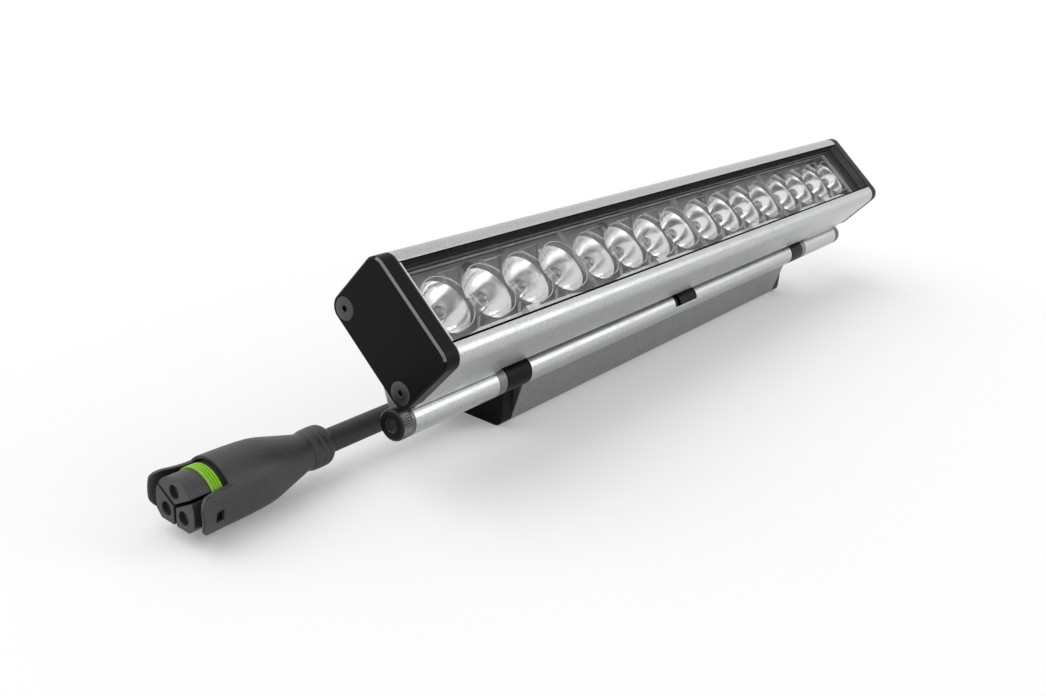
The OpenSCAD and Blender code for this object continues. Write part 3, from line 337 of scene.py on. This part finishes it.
# Shapes
def loft(rings, loop=False):
    """Skins rings of equal count; a loop's last ring meets its first, else the ends are closed."""
    bm = bmesh.new()
    loops = [[bm.verts.new(p) for p in ring] for ring in rings]
    pairs = list(zip(loops, loops[1:]))
    if loop:
        pairs.append((loops[-1], loops[0]))
    for a, b in pairs:
        for i in range(len(a)):
            j = (i + 1) % len(a)
            bm.faces.new((a[i], a[j], b[j], b[i]))
    if not loop:
        bm.faces.new(loops[0][::-1])
        bm.faces.new(loops[-1])
    bmesh.ops.recalc_face_normals(bm, faces=bm.faces)
    return bm


def circle(x, r, count=72, mid=(0, 0)):
    """Ring of points about the X axis, or about a line beside it."""
    turn = 2 * math.pi / count
    return [
        (x, mid[0] + r * math.cos(k * turn), mid[1] + r * math.sin(k * turn)) for k in range(count)
    ]


def hexagon(x, flats, count=72):
    """Six-sided ring with as many points as a circle's."""
    ring = []
    for k in range(count):
        a = 360 * k / count
        r = flats / 2 / math.cos(math.radians(a % 60 - 30))
        ring.append((x, r * math.cos(math.radians(a)), r * math.sin(math.radians(a))))
    return ring


def turned(points, count=72, loop=False, mid=(0, 0)):
    """Lathes (x, radius) points."""
    return loft([circle(x, r, count, mid) for x, r in points], loop)


def well(x0, x1, r, mid, count=48):
    """Round hole along X, to be cut out."""
    return turned([(x0, r), (x1, r)], count, mid=mid)


def round_rect(low, high, r, steps=10):
    """Outline of a rounded rectangle between two corners, anticlockwise."""
    centres = [
        (high[0] - r, high[1] - r, 0), (low[0] + r, high[1] - r, 90),
        (low[0] + r, low[1] + r, 180), (high[0] - r, low[1] + r, 270),
    ]
    points = []
    for a, b, start in centres:
        for k in range(steps + 1):
            t = math.radians(start + 90 * k / steps)
            points.append((a + r * math.cos(t), b + r * math.sin(t)))
    return points


def at(x, outline):
    """Puts a flat outline at a station along X."""
    return [(x, a, b) for a, b in outline]


def drawn(outline, x0, x1):
    """Draws a flat outline out along X."""
    return loft([at(x0, outline), at(x1, outline)])


def block(low, high):
    """Box between two corners."""
    return drawn(
        [(low[1], low[2]), (high[1], low[2]), (high[1], high[2]), (low[1], high[2])],
        low[0], high[0],
    )


def joined(*shapes):
    """Puts several closed shapes in one mesh."""
    whole = shapes[0]
    for shape in shapes[1:]:
        mesh = bpy.data.meshes.new("part")
        shape.to_mesh(mesh)
        shape.free()
        whole.from_mesh(mesh)
        bpy.data.meshes.remove(mesh)
    return whole


def moved(shape, matrix):
    """Places a shape, with its faces outward after mirroring too."""
    bmesh.ops.transform(shape, matrix=matrix, verts=shape.verts)
    if matrix.determinant() < 0:
        bmesh.ops.reverse_faces(shape, faces=shape.faces)
    return shape


def combined(shape, tools, operation="DIFFERENCE"):
    """Exact boolean of closed shapes."""
    scratch = []
    for one in [shape, *tools]:
        mesh = bpy.data.meshes.new("work")
        one.to_mesh(mesh)
        one.free()
        holder = bpy.data.objects.new("work", mesh)
        bpy.context.scene.collection.objects.link(holder)
        scratch.append(holder)
    for tool in scratch[1:]:
        modifier = scratch[0].modifiers.new("work", "BOOLEAN")
        modifier.operation = operation
        modifier.solver = "EXACT"
        modifier.object = tool
    bpy.context.view_layer.update()
    result = bmesh.new()
    result.from_object(scratch[0], bpy.context.evaluated_depsgraph_get())
    for holder in scratch:
        mesh = holder.data
        bpy.data.objects.remove(holder)
        bpy.data.meshes.remove(mesh)
    bmesh.ops.remove_doubles(result, verts=result.verts, dist=1e-4)
    bmesh.ops.recalc_face_normals(result, faces=result.faces)
    return result


def piece(
    name, shape, place, body, look, nodes=(), edge=0.0, rings=2, sharp=32, also=(), paint=None
):
    """Makes one piece of the visual model from a closed shape; paint picks a face's material."""
    for face in shape.faces:
        face.material_index = paint(face) if paint else 0
    moved(shape, place)
    for face in shape.faces:
        face.smooth = True
    if not edge:
        for line in shape.edges:
            faces = line.link_faces
            if len(faces) == 2 and faces[0].normal.angle(faces[1].normal, 0) > math.radians(sharp):
                line.smooth = False
    mesh = bpy.data.meshes.new(name)
    shape.to_mesh(mesh)
    shape.free()
    made = bpy.data.objects.new(name, mesh)
    bpy.context.scene.collection.objects.link(made)
    for each in (look, *also):
        made.data.materials.append(each)
    if edge:
        bevel = made.modifiers.new("edges", "BEVEL")
        bevel.width = edge * MM
        bevel.segments = rings
        bevel.limit_method = "ANGLE"
        bevel.angle_limit = math.radians(sharp)
        bevel.use_clamp_overlap = False
        bevel.harden_normals = True
    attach(made, body)
    if nodes:
        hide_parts(*nodes)
    return made


# Head housing
def head_outline():
    """Housing section: rounded rim outside, window ledges and light chamber inside."""
    rim = round_rect((0, HEAD_BACK), (HEAD_W, HEAD_FACE), HEAD_R)
    first = 11
    outer = rim[first:] + rim[:first]
    ledge_low = WINDOW_LOW + LEDGE_W
    ledge_top = WINDOW_TOP - LEDGE_W
    inner = [
        (WINDOW_TOP, HEAD_FACE), (WINDOW_TOP, SEAL_N), (ledge_top, SEAL_N), (ledge_top, LEDGE_N),
        (HEAD_W - WALL, LEDGE_N), (HEAD_W - WALL, SHELF_N), (WALL, SHELF_N), (WALL, LEDGE_N),
        (ledge_low, LEDGE_N), (ledge_low, SEAL_N), (WINDOW_LOW, SEAL_N), (WINDOW_LOW, HEAD_FACE),
    ]
    return outer + inner


def barrel_outline():
    """Section of an end barrel and the web that carries it."""
    points = [(0.4, 9.8), (0.4, 5.05), (0.8, 5.05), (0.8, 4.53)]
    start, end = 80.0, 297.6
    steps = 44
    for k in range(1, steps + 1):
        a = math.radians(start + (end - start) * k / steps)
        points.append((BARREL_R * math.cos(a), BARREL_R * math.sin(a)))
    return points + [(21, 5.8), (21, 6.8)]


def housing_part(face):
    """0 satin outside, 1 floor and ledges of the light chamber in dark grey painted shade, 2 its
    side walls in black painted shade.
    """
    spot = face.calc_center_median()
    low, high = (WALL, HEAD_W - WALL) if spot.z < LEDGE_N + 0.05 else (WINDOW_LOW, WINDOW_TOP)
    deep = SHELF_N - 0.1 < spot.z < HEAD_FACE - 0.5
    if not deep or not low - 0.1 < spot.y < high + 0.1 or abs(face.normal.x) > 0.5:
        return 0
    # Inside the chamber, floor and walls are painted dark as shade.
    return 1 if abs(face.normal.z) > 0.5 else 2


def make_head():
    shell = drawn(head_outline(), -METAL_END, METAL_END)
    ends = [
        drawn(barrel_outline(), x0, x1)
        for x0, x1 in ((-METAL_END, -BARREL_IN), (BARREL_IN, METAL_END))
    ]
    piece(
        "head_housing", joined(shell, *ends), IN_HEAD, "head", ALUMINIUM,
        ["head_profile"], edge=0.13, also=[INSIDE_SHADE, BOND_AND_SHADE], paint=housing_part,
    )


def head_cap():
    """Chamfered plate with two screw holes, and a spigot that goes into the housing."""
    cut = 0.6
    rim = round_rect((0, HEAD_BACK), (HEAD_W, HEAD_FACE), HEAD_R)
    front = round_rect((cut, HEAD_BACK + cut), (HEAD_W - cut, HEAD_FACE - cut), HEAD_R - cut)
    plate = loft([at(-CAP_IN, rim), at(-HEAD_END + cut, rim), at(-HEAD_END, front)])
    spigot = block((-CAP_IN - 1, 2.1, 15.2), (-METAL_END + 2.4, HEAD_W - 2.1, 25.1))
    holes = [well(-HEAD_END - 1, -HEAD_END + 3.4, 3.42, place) for place in CAP_SCREWS]
    return joined(combined(plate, holes), spigot)


def cap_screw(head_r):
    """Countersunk screw with a six-sided socket, its face at x = 0."""
    count = 48
    flats, shank_r, lip = SCREW_FLATS, SCREW_SHANK_R, 0.3
    return loft([
        hexagon(1.3, flats * 0.2, count), hexagon(1.25, flats, count), hexagon(0.12, flats, count),
        hexagon(0, flats * 1.12, count), circle(0, head_r - 0.16, count),
        circle(0.06, head_r - 0.05, count), circle(0.16, head_r, count), circle(lip, head_r, count),
        circle(lip + head_r - shank_r, shank_r, count), circle(SCREW_L, shank_r, count),
    ])


def screw_set(x, places, head_r):
    """Cap screws at both ends of the light."""
    spots = [flip @ Matrix.Translation((x, y, z)) for y, z in places for flip in (NEAR, FAR)]
    return joined(*(moved(cap_screw(head_r), spot) for spot in spots))


def cap_part(face):
    """1 for a painted highlight on the chamfer along the lens side of an end cap, 2 for its spigot,
    in the housing's inside grey.
    """
    n = face.normal
    if face.calc_center_median().x > -CAP_IN + 0.3:
        return 2
    # Only the lens-side chamfer faces take the lighter grey: a painted highlight.
    return int(abs(n.x) > 0.4 and n.z > 0.6)


def make_head_ends():
    for side, flip in ENDS:
        piece(
            "head_end_cap_" + side, head_cap(), IN_HEAD @ flip, "head", CAP_BLACK,
            ["head_cap_" + side], edge=0.14, also=[CAP_EDGE_HIGHLIGHT, INSIDE_SHADE], paint=cap_part,
        )
        washer = turned([
            (-CLAMP_UNDER, 2.6), (-CLAMP_UNDER, 4.36), (-148.0, 4.5), (-147.15, 4.5),
            (-METAL_END, 4.36), (-METAL_END, 2.6),
        ], loop=True)
        piece(
            "lock_washer_ring_" + side, washer, IN_HEAD @ flip, "head", CLAMP_STEEL,
            ["lock_washer_" + side],
        )
    piece(
        "head_cap_screw_set", screw_set(-HEAD_END, CAP_SCREWS, HEAD_SCREW_R), IN_HEAD, "head",
        DARK_STEEL, ["head_cap_screws"],
    )


# Window and optics
def pane_part(face):
    """0 clear, 1 black bond on the long sides and low edge, 2 ends in dark grey painted shade, 3 a
    painted highlight along the near end of the top.
    """
    spot = face.calc_center_median()
    if abs(face.normal.z) > 0.5:
        if spot.y < WINDOW_LOW + 0.5:
            return 1
        # A strip along the near end of the top is painted bright: a painted highlight.
        return 3 if spot.x < PANE_X[1] else 0
    # The pane's ends are painted dark grey: painted shade.
    return 1 if abs(face.normal.y) > 0.5 else 2


def make_window():
    low, top = WINDOW_LOW + 0.1, WINDOW_TOP - 0.1
    outline = [
        (low, PANE_N), (top, PANE_N), (top, PANE_TOP), (low + 0.5, PANE_TOP), (low, PANE_TOP),
    ]
    pane = loft([at(x, outline) for x in PANE_X])
    piece(
        "window_pane", pane, IN_HEAD, "head", GLASS, ["front_cover"], edge=0.3,
        rings=3, also=[BOND_AND_SHADE, INSIDE_SHADE, FROSTED_AND_HIGHLIGHT], paint=pane_part,
    )


def lens_shape(x):
    """One lens: pocket over the LED, flaring mirror sides, flat top within a raised ring."""
    profile = [
        (6.8, 0.02), (6.76, 0.45), (6.65, 0.9), (6.45, 1.35), (6.15, 1.7), (5.7, 1.95),
        (5.2, 2.05), (2.0, 2.3), (0, 2.5), (0, 3.7),
    ]
    for k in range(1, 17):
        t = k / 16
        profile.append((8.05 * t ** 1.22, 3.7 + 4.55 * (1 - (1 - t) ** 1.35)))
    profile += [
        (8.4, 8.45), (10.1, 8.45), (10.18, 8.37), (10.18, 8.13), (10.1, 8.05), (9.8, 8.0),
        (9.8, 0.02),
    ]
    return moved(
        turned(profile, 96),
        Matrix.Translation((x, LENS_MID, BOARD_N)) @ Matrix.Rotation(math.radians(-90), 4, "Y"),
    )


def opening(x, side):
    """Three-sided hole in the plate between two lenses."""
    reach = LENS_R + 0.3
    points = []
    foot, tip = (9.3, 4.3) if side > 0 else (9.3, 5.8)
    for k in range(13):
        half = LENS_PITCH / 2
        y = tip + (foot - tip) * k / 12
        slope = 0.93 * (y - tip)
        room = half - math.sqrt(max(reach * reach - y * y, 0))
        points.append((min(slope, room), y))
    outline = [(a, b) for a, b in points if a > 0.02]
    ring = [(x + a, LENS_MID + side * b) for a, b in outline]
    ring += [(x - a, LENS_MID + side * b) for a, b in reversed(outline)]
    if side < 0:
        ring.reverse()
    return loft([[(a, b, n) for a, b in ring] for n in (PLATE_LOW - 1, PLATE_TOP + 1)])


def make_optics():
    """Four strips of four lenses each, with clips at their middles."""
    first = -LENS_PITCH * LENS_COUNT / 2
    middle = first + 2 * LENS_PITCH
    plate = block(
        (middle - ARRAY_L / 2, PLATE_S[0], PLATE_LOW), (middle + ARRAY_L / 2, PLATE_S[1], PLATE_TOP)
    )
    holes = [opening(first + k * LENS_PITCH, side) for k in (1, 2, 3) for side in (-1, 1)]
    plate = combined(plate, holes)
    tabs = []
    for side in (-1, 1):
        edge = LENS_MID + side * CLIP_EDGE
        outer = edge + side * 0.4
        inner = edge - side * 2.35
        post = sorted((inner, edge - side * 0.1))
        hook = sorted((inner, outer))
        for (near, far), low, top in ((post, 23.85, 26.75), (hook, 26.45, 27.05)):
            tabs.append(block((middle - CLIP_HALF, near, low), (middle + CLIP_HALF, far, top)))
    lenses = [lens_shape(first + (k + 0.5) * LENS_PITCH) for k in range(4)]
    whole = combined(plate, lenses + tabs, "UNION")
    centres = [first + (k + 0.5) * LENS_PITCH for k in range(4)]

    def lens_part(face):
        """0 clear, 1 mirror sides, 2 frosted plate, and a painted highlight on the ring tops, 3
        pocket dome in grey painted shade, 4 its wall in grey painted shade
        """
        spot = face.calc_center_median()
        out = min(math.hypot(spot.x - x, spot.y - LENS_MID) for x in centres)
        if BOARD_N + 0.1 < spot.z < PLATE_LOW - 0.02 and out > 3.72:
            return 1
        # The clear pocket over the LED is painted grey: painted shade.
        if BOARD_N + 0.1 < spot.z < BOARD_N + 6.9 and out < 2.6:
            return 3 if spot.z > BOARD_N + 5.2 else 4
        if spot.z > PLATE_TOP + 0.05 and out > 8.5:
            return 0 if spot.y > LENS_MID else 2
        if out < 8.5:
            # A thin band on each ring's top takes the frosted grey: a painted highlight.
            return 2 if spot.z > BOARD_N + 10.14 and out > 8.1 else 0
        return 2 if spot.z > PLATE_LOW - 0.02 else 0

    source = piece(
        "lens_strip_1", whole, IN_HEAD, "head", ACRYLIC, ["lens_array_1"],
        sharp=24, also=[MIRROR_COAT, FROSTED_AND_HIGHLIGHT, LENS_CORE_SHADE, POCKET_SHADE], paint=lens_part,
    )
    for k in (2, 3, 4):
        strip = bpy.data.objects.new(f"lens_strip_{k}", source.data.copy())
        strip.data.transform(Matrix.Translation(((k - 1) * 4 * LENS_PITCH * MM, 0, 0)))
        bpy.context.scene.collection.objects.link(strip)
        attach(strip, "head")
        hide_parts(f"lens_array_{k}")


# Hinge
def clamp_screw():
    """Knurled screw with a six-sided socket, on its shaft."""
    count = 160
    rings = [
        hexagon(-CLAMP_FACE + 1.25, 0.8, count), hexagon(-CLAMP_FACE + 1.2, 3.6, count),
        hexagon(-CLAMP_FACE + 0.25, 3.6, count), hexagon(-CLAMP_FACE + 0.02, 4.0, count),
        circle(-CLAMP_FACE, 3.7, count), circle(-CLAMP_FACE + 0.05, 4.0, count),
        circle(-CLAMP_FACE + 0.3, 4.27, count),
    ]
    turn = 2 * math.pi / count
    knurl = [(-CLAMP_FACE + 0.4, 0.5), (-CLAMP_FACE + 0.55, 1), (-148.4, 1), (-148.2, 0.4)]
    for x, depth in knurl:
        ring = []
        for k in range(count):
            r = 4.55 - 0.16 * (depth if k % 4 in (2, 3) else 1 - depth) - 0.05 * (k % 2)
            ring.append((x, r * math.cos(k * turn), r * math.sin(k * turn)))
        rings.append(ring)
    rings += [
        circle(-CLAMP_UNDER, 4.2, count), circle(-CLAMP_UNDER, 2.5, count),
        circle(-SHAFT_END, 2.5, count),
    ]
    return loft(rings)


def make_hinge():
    for side, flip in ENDS:
        piece(
            "clamp_knob_" + side, clamp_screw(), ON_HINGE @ flip, "clamp_screw_" + side,
            CLAMP_FACE_SHADE, ["clamp_screw_" + side], sharp=28, also=[CLAMP_STEEL],
            # The knob's face takes the darker steel, painted shade; its knurled rim takes the
            # lighter.
            paint=lambda face: int(abs(face.calc_center_median().x) < CLAMP_FACE - 0.38),
        )
        ring = turned([
            (-SPACER_OUT, 2.6), (-SPACER_OUT, 4.4), (-111.27, 4.55), (-107.85, 4.55),
            (-KNUCKLE_OUT, 4.4), (-KNUCKLE_OUT, 2.6),
        ], loop=True)
        piece(
            "spacer_ring_" + side, ring, ON_HINGE @ flip, "base", SPACER,
            ["spacer_" + side],
        )


# Base
def base_outline():
    """Housing section with the barrel along its top front edge."""
    half = BASE_D / 2
    rim = round_rect((-half, 0), (half, BASE_H), BASE_R)
    out = rim[:11]
    for a, b in rim[11:22]:
        if math.hypot(a - HINGE_Y, b - HINGE_Z) > BARREL_R + 0.05:
            out.append((a, b))
    top = math.acos((BASE_H - HINGE_Z) / BARREL_R)
    start = math.pi / 2 - top
    low = math.acos((HINGE_Y + half) / BARREL_R)
    end = 2 * math.pi - low
    steps = 44
    for k in range(steps + 1):
        t = start + (end - start) * k / steps
        out.append((HINGE_Y + BARREL_R * math.cos(t), HINGE_Z + BARREL_R * math.sin(t)))
    out += rim[22:]
    return out


def base_part(face):
    """1 for the barrel in the head's aluminium, 0 for the box in a darker copy of it, painted
    shade.
    """
    spot = face.calc_center_median()
    return int(math.hypot(spot.y - HINGE_Y, spot.z - HINGE_Z) < BARREL_R + 0.1)


def make_base():
    """Housing with a notch for the centre insert and two sockets in its underside."""
    body = drawn(base_outline(), -BASE_END, BASE_END)
    notch = well(-8, 8, 7.5, (HINGE_Y, HINGE_Z), 72)
    notch = combined(notch, [block((-9, -30, 0), (9, 0, HINGE_Z + 0.6))])
    sockets = []
    for x in (-60, 60):
        upright = Matrix.Translation((x, 0, 0)) @ Matrix.Rotation(math.radians(-90), 4, "Y")
        sockets.append(moved(well(-1, 7.1, 3.55, (0, 0)), upright))
    body = combined(body, [notch, *sockets])
    piece(
        "driver_housing", body, BASE, "base", BASE_ALUMINIUM_SHADE,
        ["base_profile"], edge=0.15, also=[ALUMINIUM], paint=base_part,
    )


def base_cap(has_gland):
    """Plate with a knuckle on the hinge axis, screw holes, and a hole for the gland."""
    half = BASE_D / 2
    axis = (HINGE_Y, HINGE_Z)
    plate = drawn(round_rect((-half, 0), (half, BASE_H), BASE_R), -BASE_CAP_OUT, -BASE_CAP_IN)
    knuckle = turned([(-KNUCKLE_OUT, BARREL_R), (-BASE_CAP_IN, BARREL_R)], 72, mid=axis)
    whole = combined(plate, [knuckle], "UNION")
    tools = [well(-BASE_CAP_OUT - 1, -BASE_CAP_OUT + 3, 2.96, place) for place in BASE_SCREWS]
    tools.append(well(-KNUCKLE_OUT - 1, -KNUCKLE_OUT + 8, 3.52, axis))
    if has_gland:
        tools.append(well(-BASE_CAP_OUT - 1, -BASE_CAP_IN + 1, 4.95, (0, CABLE_Z)))
    return combined(whole, tools)


def make_base_ends():
    for side, flip in ENDS:
        piece(
            "base_end_cap_" + side, base_cap(side == "near"), BASE @ flip, "base", CAP_BLACK,
            ["base_cap_" + side], edge=0.2, rings=3,
        )
    piece(
        "base_cap_screw_heads", screw_set(-BASE_CAP_OUT, BASE_SCREWS, BASE_SCREW_R), BASE, "base",
        DARK_STEEL, ["base_cap_screws"],
    )


# Plug
def plug_shell():
    """Hollow sleeve that ends in two flared wings, each with a latch window."""

    def flare(u):
        return WING_FLARE * (1 - u / WING_L) ** 2

    wings = [WING_L * k / 10 for k in range(1, 11)]
    outer = [(0, 10.25), (0, 10.75), (0.08, 10.95), (0.3, 11.02)]
    outer += [(u, 9.25 + flare(u)) for u in wings]
    outer += [
        (12.4, 9.25), (17.0, 9.2), (21.0, 9.05), (24.2, 8.8), (26.4, 8.4), (28.8, 7.8),
        (31.5, 7.05), (34.2, 6.35), (36.3, 5.8), (37.3, 5.5), (38.3, 5.34), (39.3, 5.3),
    ]
    inner = [(39.3, 3.5), (36.5, 3.5), (24.8, 6.05), (14, 6.05), (14, 8.3)]
    inner += [(u, 8.3 + flare(u)) for u in reversed(wings)]
    shell = turned(outer + inner, 128, loop=True)
    keeps = [
        loft([[(u, y, w) for u, w in wing_outline(top)] for y in (0, side * 14)])
        for side, top in ((-1, 4.8), (1, 5.9))
    ]
    front = combined(block((-1, -13, -13), (WING_L, 13, 13)), keeps)
    window = block((4.6, -14, -2.6), (7.0, 14, 0.2))
    return combined(shell, [front, window])


def wing_outline(top):
    """Side view of a wing: rounded tip corners, and a lower edge that falls towards the rim."""
    points = []
    for k in range(13):
        t = math.radians(90 + 90 * k / 12)
        points.append((2.9 + 2.9 * math.cos(t), top - 2.9 + 2.9 * math.sin(t)))
    for k in range(13):
        t = math.radians(180 + 66 * k / 12)
        points.append((3.8 + 3.8 * math.cos(t), -1.4 + 3.8 * math.sin(t)))
    return points + [(4.8, -6.0), (9.9, -7.6), (20, -7.9), (20, top)]


def plug_insert_shape():
    """Three shrouds split by a three-armed slot, round on top and flat below."""
    outline = []
    for k in range(61):
        a = math.radians(3 * k)
        outline.append((7.4 * math.cos(a), 7.4 * math.sin(a)))
    outline += [(-7.3, -3.2), (-5.3, -5.2), (5.3, -5.2), (7.3, -3.2)]
    body = drawn(outline, 0, 13.4)
    arms = []
    for a in (30, 150, 270):
        arm = block((-1, 0, -0.45), (9, 16, 0.45))
        arms.append(moved(arm, Matrix.Rotation(math.radians(a), 4, "X")))
    holes = []
    for a in (90, 210, 330):
        spot = (3.8 * math.cos(math.radians(a)), 3.8 * math.sin(math.radians(a)))
        holes += [well(-1, 1.6, 1.8, spot, 40), well(-1, 13, 1.5, spot, 40)]
    flange = turned([(12.8, 8.2), (14, 8.2)], 72)
    return joined(combined(body, arms + holes), flange)


def code_ring_shape():
    """Grooved ring round the top half of the shrouds."""
    points = [(5.9, 7.42), (5.9, 7.78), (5.98, 7.85)]
    for u in (6.56, 7.28, 8.0):
        points += [(u, 7.85), (u + 0.06, 7.6), (u + 0.2, 7.6), (u + 0.26, 7.85)]
    points += [(8.82, 7.85), (8.9, 7.78), (8.9, 7.42)]
    rings = []
    for k in range(97):
        a = math.radians(-14 + 190 * k / 96)
        rings.append([(u, r * math.cos(a), r * math.sin(a)) for u, r in points])
    return loft(rings)


def collar_shape():
    """Two rolls with shallow grooves, tapering to the cable."""
    points = [
        (39.3, 3.5), (39.3, 5.3), (39.7, 5.42), (40.3, 5.6), (41.0, 5.7), (41.6, 5.72),
        (41.8, 5.62), (42.05, 5.56), (42.3, 5.62), (42.5, 5.75), (43.7, 5.75), (43.9, 5.6),
        (44.2, 5.52), (44.5, 5.6), (44.7, 5.72), (45.1, 5.68), (45.7, 5.48), (46.2, 5.15),
        (46.55, 4.75), (46.8, 4.35), (46.8, 3.5),
    ]
    return turned(points, 96, loop=True)


def make_plug():
    return [
        piece(
            "plug_shell", plug_shell(), IN_PLUG, "base", PLUG_BLACK,
            ["plug_housing"], edge=0.18, rings=3, sharp=40,
        ),
        piece(
            "plug_shrouds", plug_insert_shape(), IN_PLUG, "base", PLUG_BLACK,
            ["plug_insert"], edge=0.14, sharp=40,
        ),
        piece(
            "plug_code_ring", code_ring_shape(), IN_PLUG, "base", RING_GREEN,
            ["code_ring"],
        ),
        piece(
            "plug_tail_collar", collar_shape(), IN_PLUG, "base", PLUG_BLACK,
            ["plug_collar"], sharp=50,
        ),
    ]


# Floor, world and lamps
def background_rays(tree):
    """1 for rays of the camera, of mirrors and through glass."""
    path = tree.nodes.new("ShaderNodeLightPath")
    last = path.outputs["Is Camera Ray"]
    for kind in ("Is Glossy Ray", "Is Transmission Ray"):
        either = node_of(tree, "ShaderNodeMath", operation="MAXIMUM")
        tree.links.new(last, either.inputs[0])
        tree.links.new(path.outputs[kind], either.inputs[1])
        last = either.outputs["Value"]
    return either


def make_stage():
    """Wide pale floor that keeps the light's shadow."""
    mesh = bpy.data.meshes.new("floor")
    mesh.from_pydata([(-60, -60, 0), (60, -60, 0), (60, 60, 0), (-60, 60, 0)], [], [(0, 1, 2, 3)])
    floor = bpy.data.objects.new("floor", mesh)
    floor.location.z = -0.00005
    bpy.context.scene.collection.objects.link(floor)
    mat = bpy.data.materials.new("floor_white")
    mat.use_nodes = True
    tree = mat.node_tree
    shader = tree.nodes["Principled BSDF"]
    shader.inputs["Base Color"].default_value = (*grey(FLOOR_WHITE), 1)
    shader.inputs["Roughness"].default_value = 0.6
    shader.inputs["Specular IOR Level"].default_value = 0.2
    glow = node_of(tree, "ShaderNodeEmission", Color=(1, 1, 1, 1))
    seen = background_rays(tree)
    scaled = node_of(tree, "ShaderNodeMath", operation="MULTIPLY")
    scaled.inputs[1].default_value = FLOOR_GLOW
    tree.links.new(seen.outputs["Value"], scaled.inputs[0])
    tree.links.new(scaled.outputs["Value"], glow.inputs["Strength"])
    both = tree.nodes.new("ShaderNodeAddShader")
    tree.links.new(shader.outputs["BSDF"], both.inputs[0])
    tree.links.new(glow.outputs["Emission"], both.inputs[1])
    tree.links.new(both.outputs["Shader"], tree.nodes["Material Output"].inputs["Surface"])
    floor.data.materials.append(mat)


def make_world():
    """Even light all round, white where the camera or a mirror sees it."""
    world = bpy.data.worlds.new("studio")
    world.use_nodes = True
    bpy.context.scene.world = world
    tree = world.node_tree
    back = tree.nodes["Background"]
    back.inputs["Color"].default_value = (1, 1, 1, 1)
    level = tree.nodes.new("ShaderNodeMapRange")
    level.inputs["To Min"].default_value = WORLD_LIGHT
    level.inputs["To Max"].default_value = BACKGROUND_LIGHT
    tree.links.new(background_rays(tree).outputs["Value"], level.inputs["Value"])
    tree.links.new(level.outputs["Result"], back.inputs["Strength"])


def sun(name, towards, angle, strength):
    """Soft lamp from a direction, as wide as its angle."""
    data = bpy.data.lights.new(name, "SUN")
    data.angle = math.radians(angle)
    data.energy = strength
    light = bpy.data.objects.new(name, data)
    bpy.context.scene.collection.objects.link(light)
    light.rotation_mode = "QUATERNION"
    light.rotation_quaternion = Vector(towards).to_track_quat("Z", "Y")


cable = make_cable()
make_head()
make_head_ends()
make_window()
make_optics()
make_hinge()
make_base()
make_base_ends()
plug_pieces = make_plug()
make_stage()
make_world()
sun("key", (-0.35, 0.5, 0.8), 70, 1.4)
sun("tube_light", (0.68, -0.58, 0.45), 30, 0.42)
sun("edge_light", (-0.68, -0.25, 0.69), 14, 0.2)

bpy.context.scene.view_settings.view_transform = "Standard"
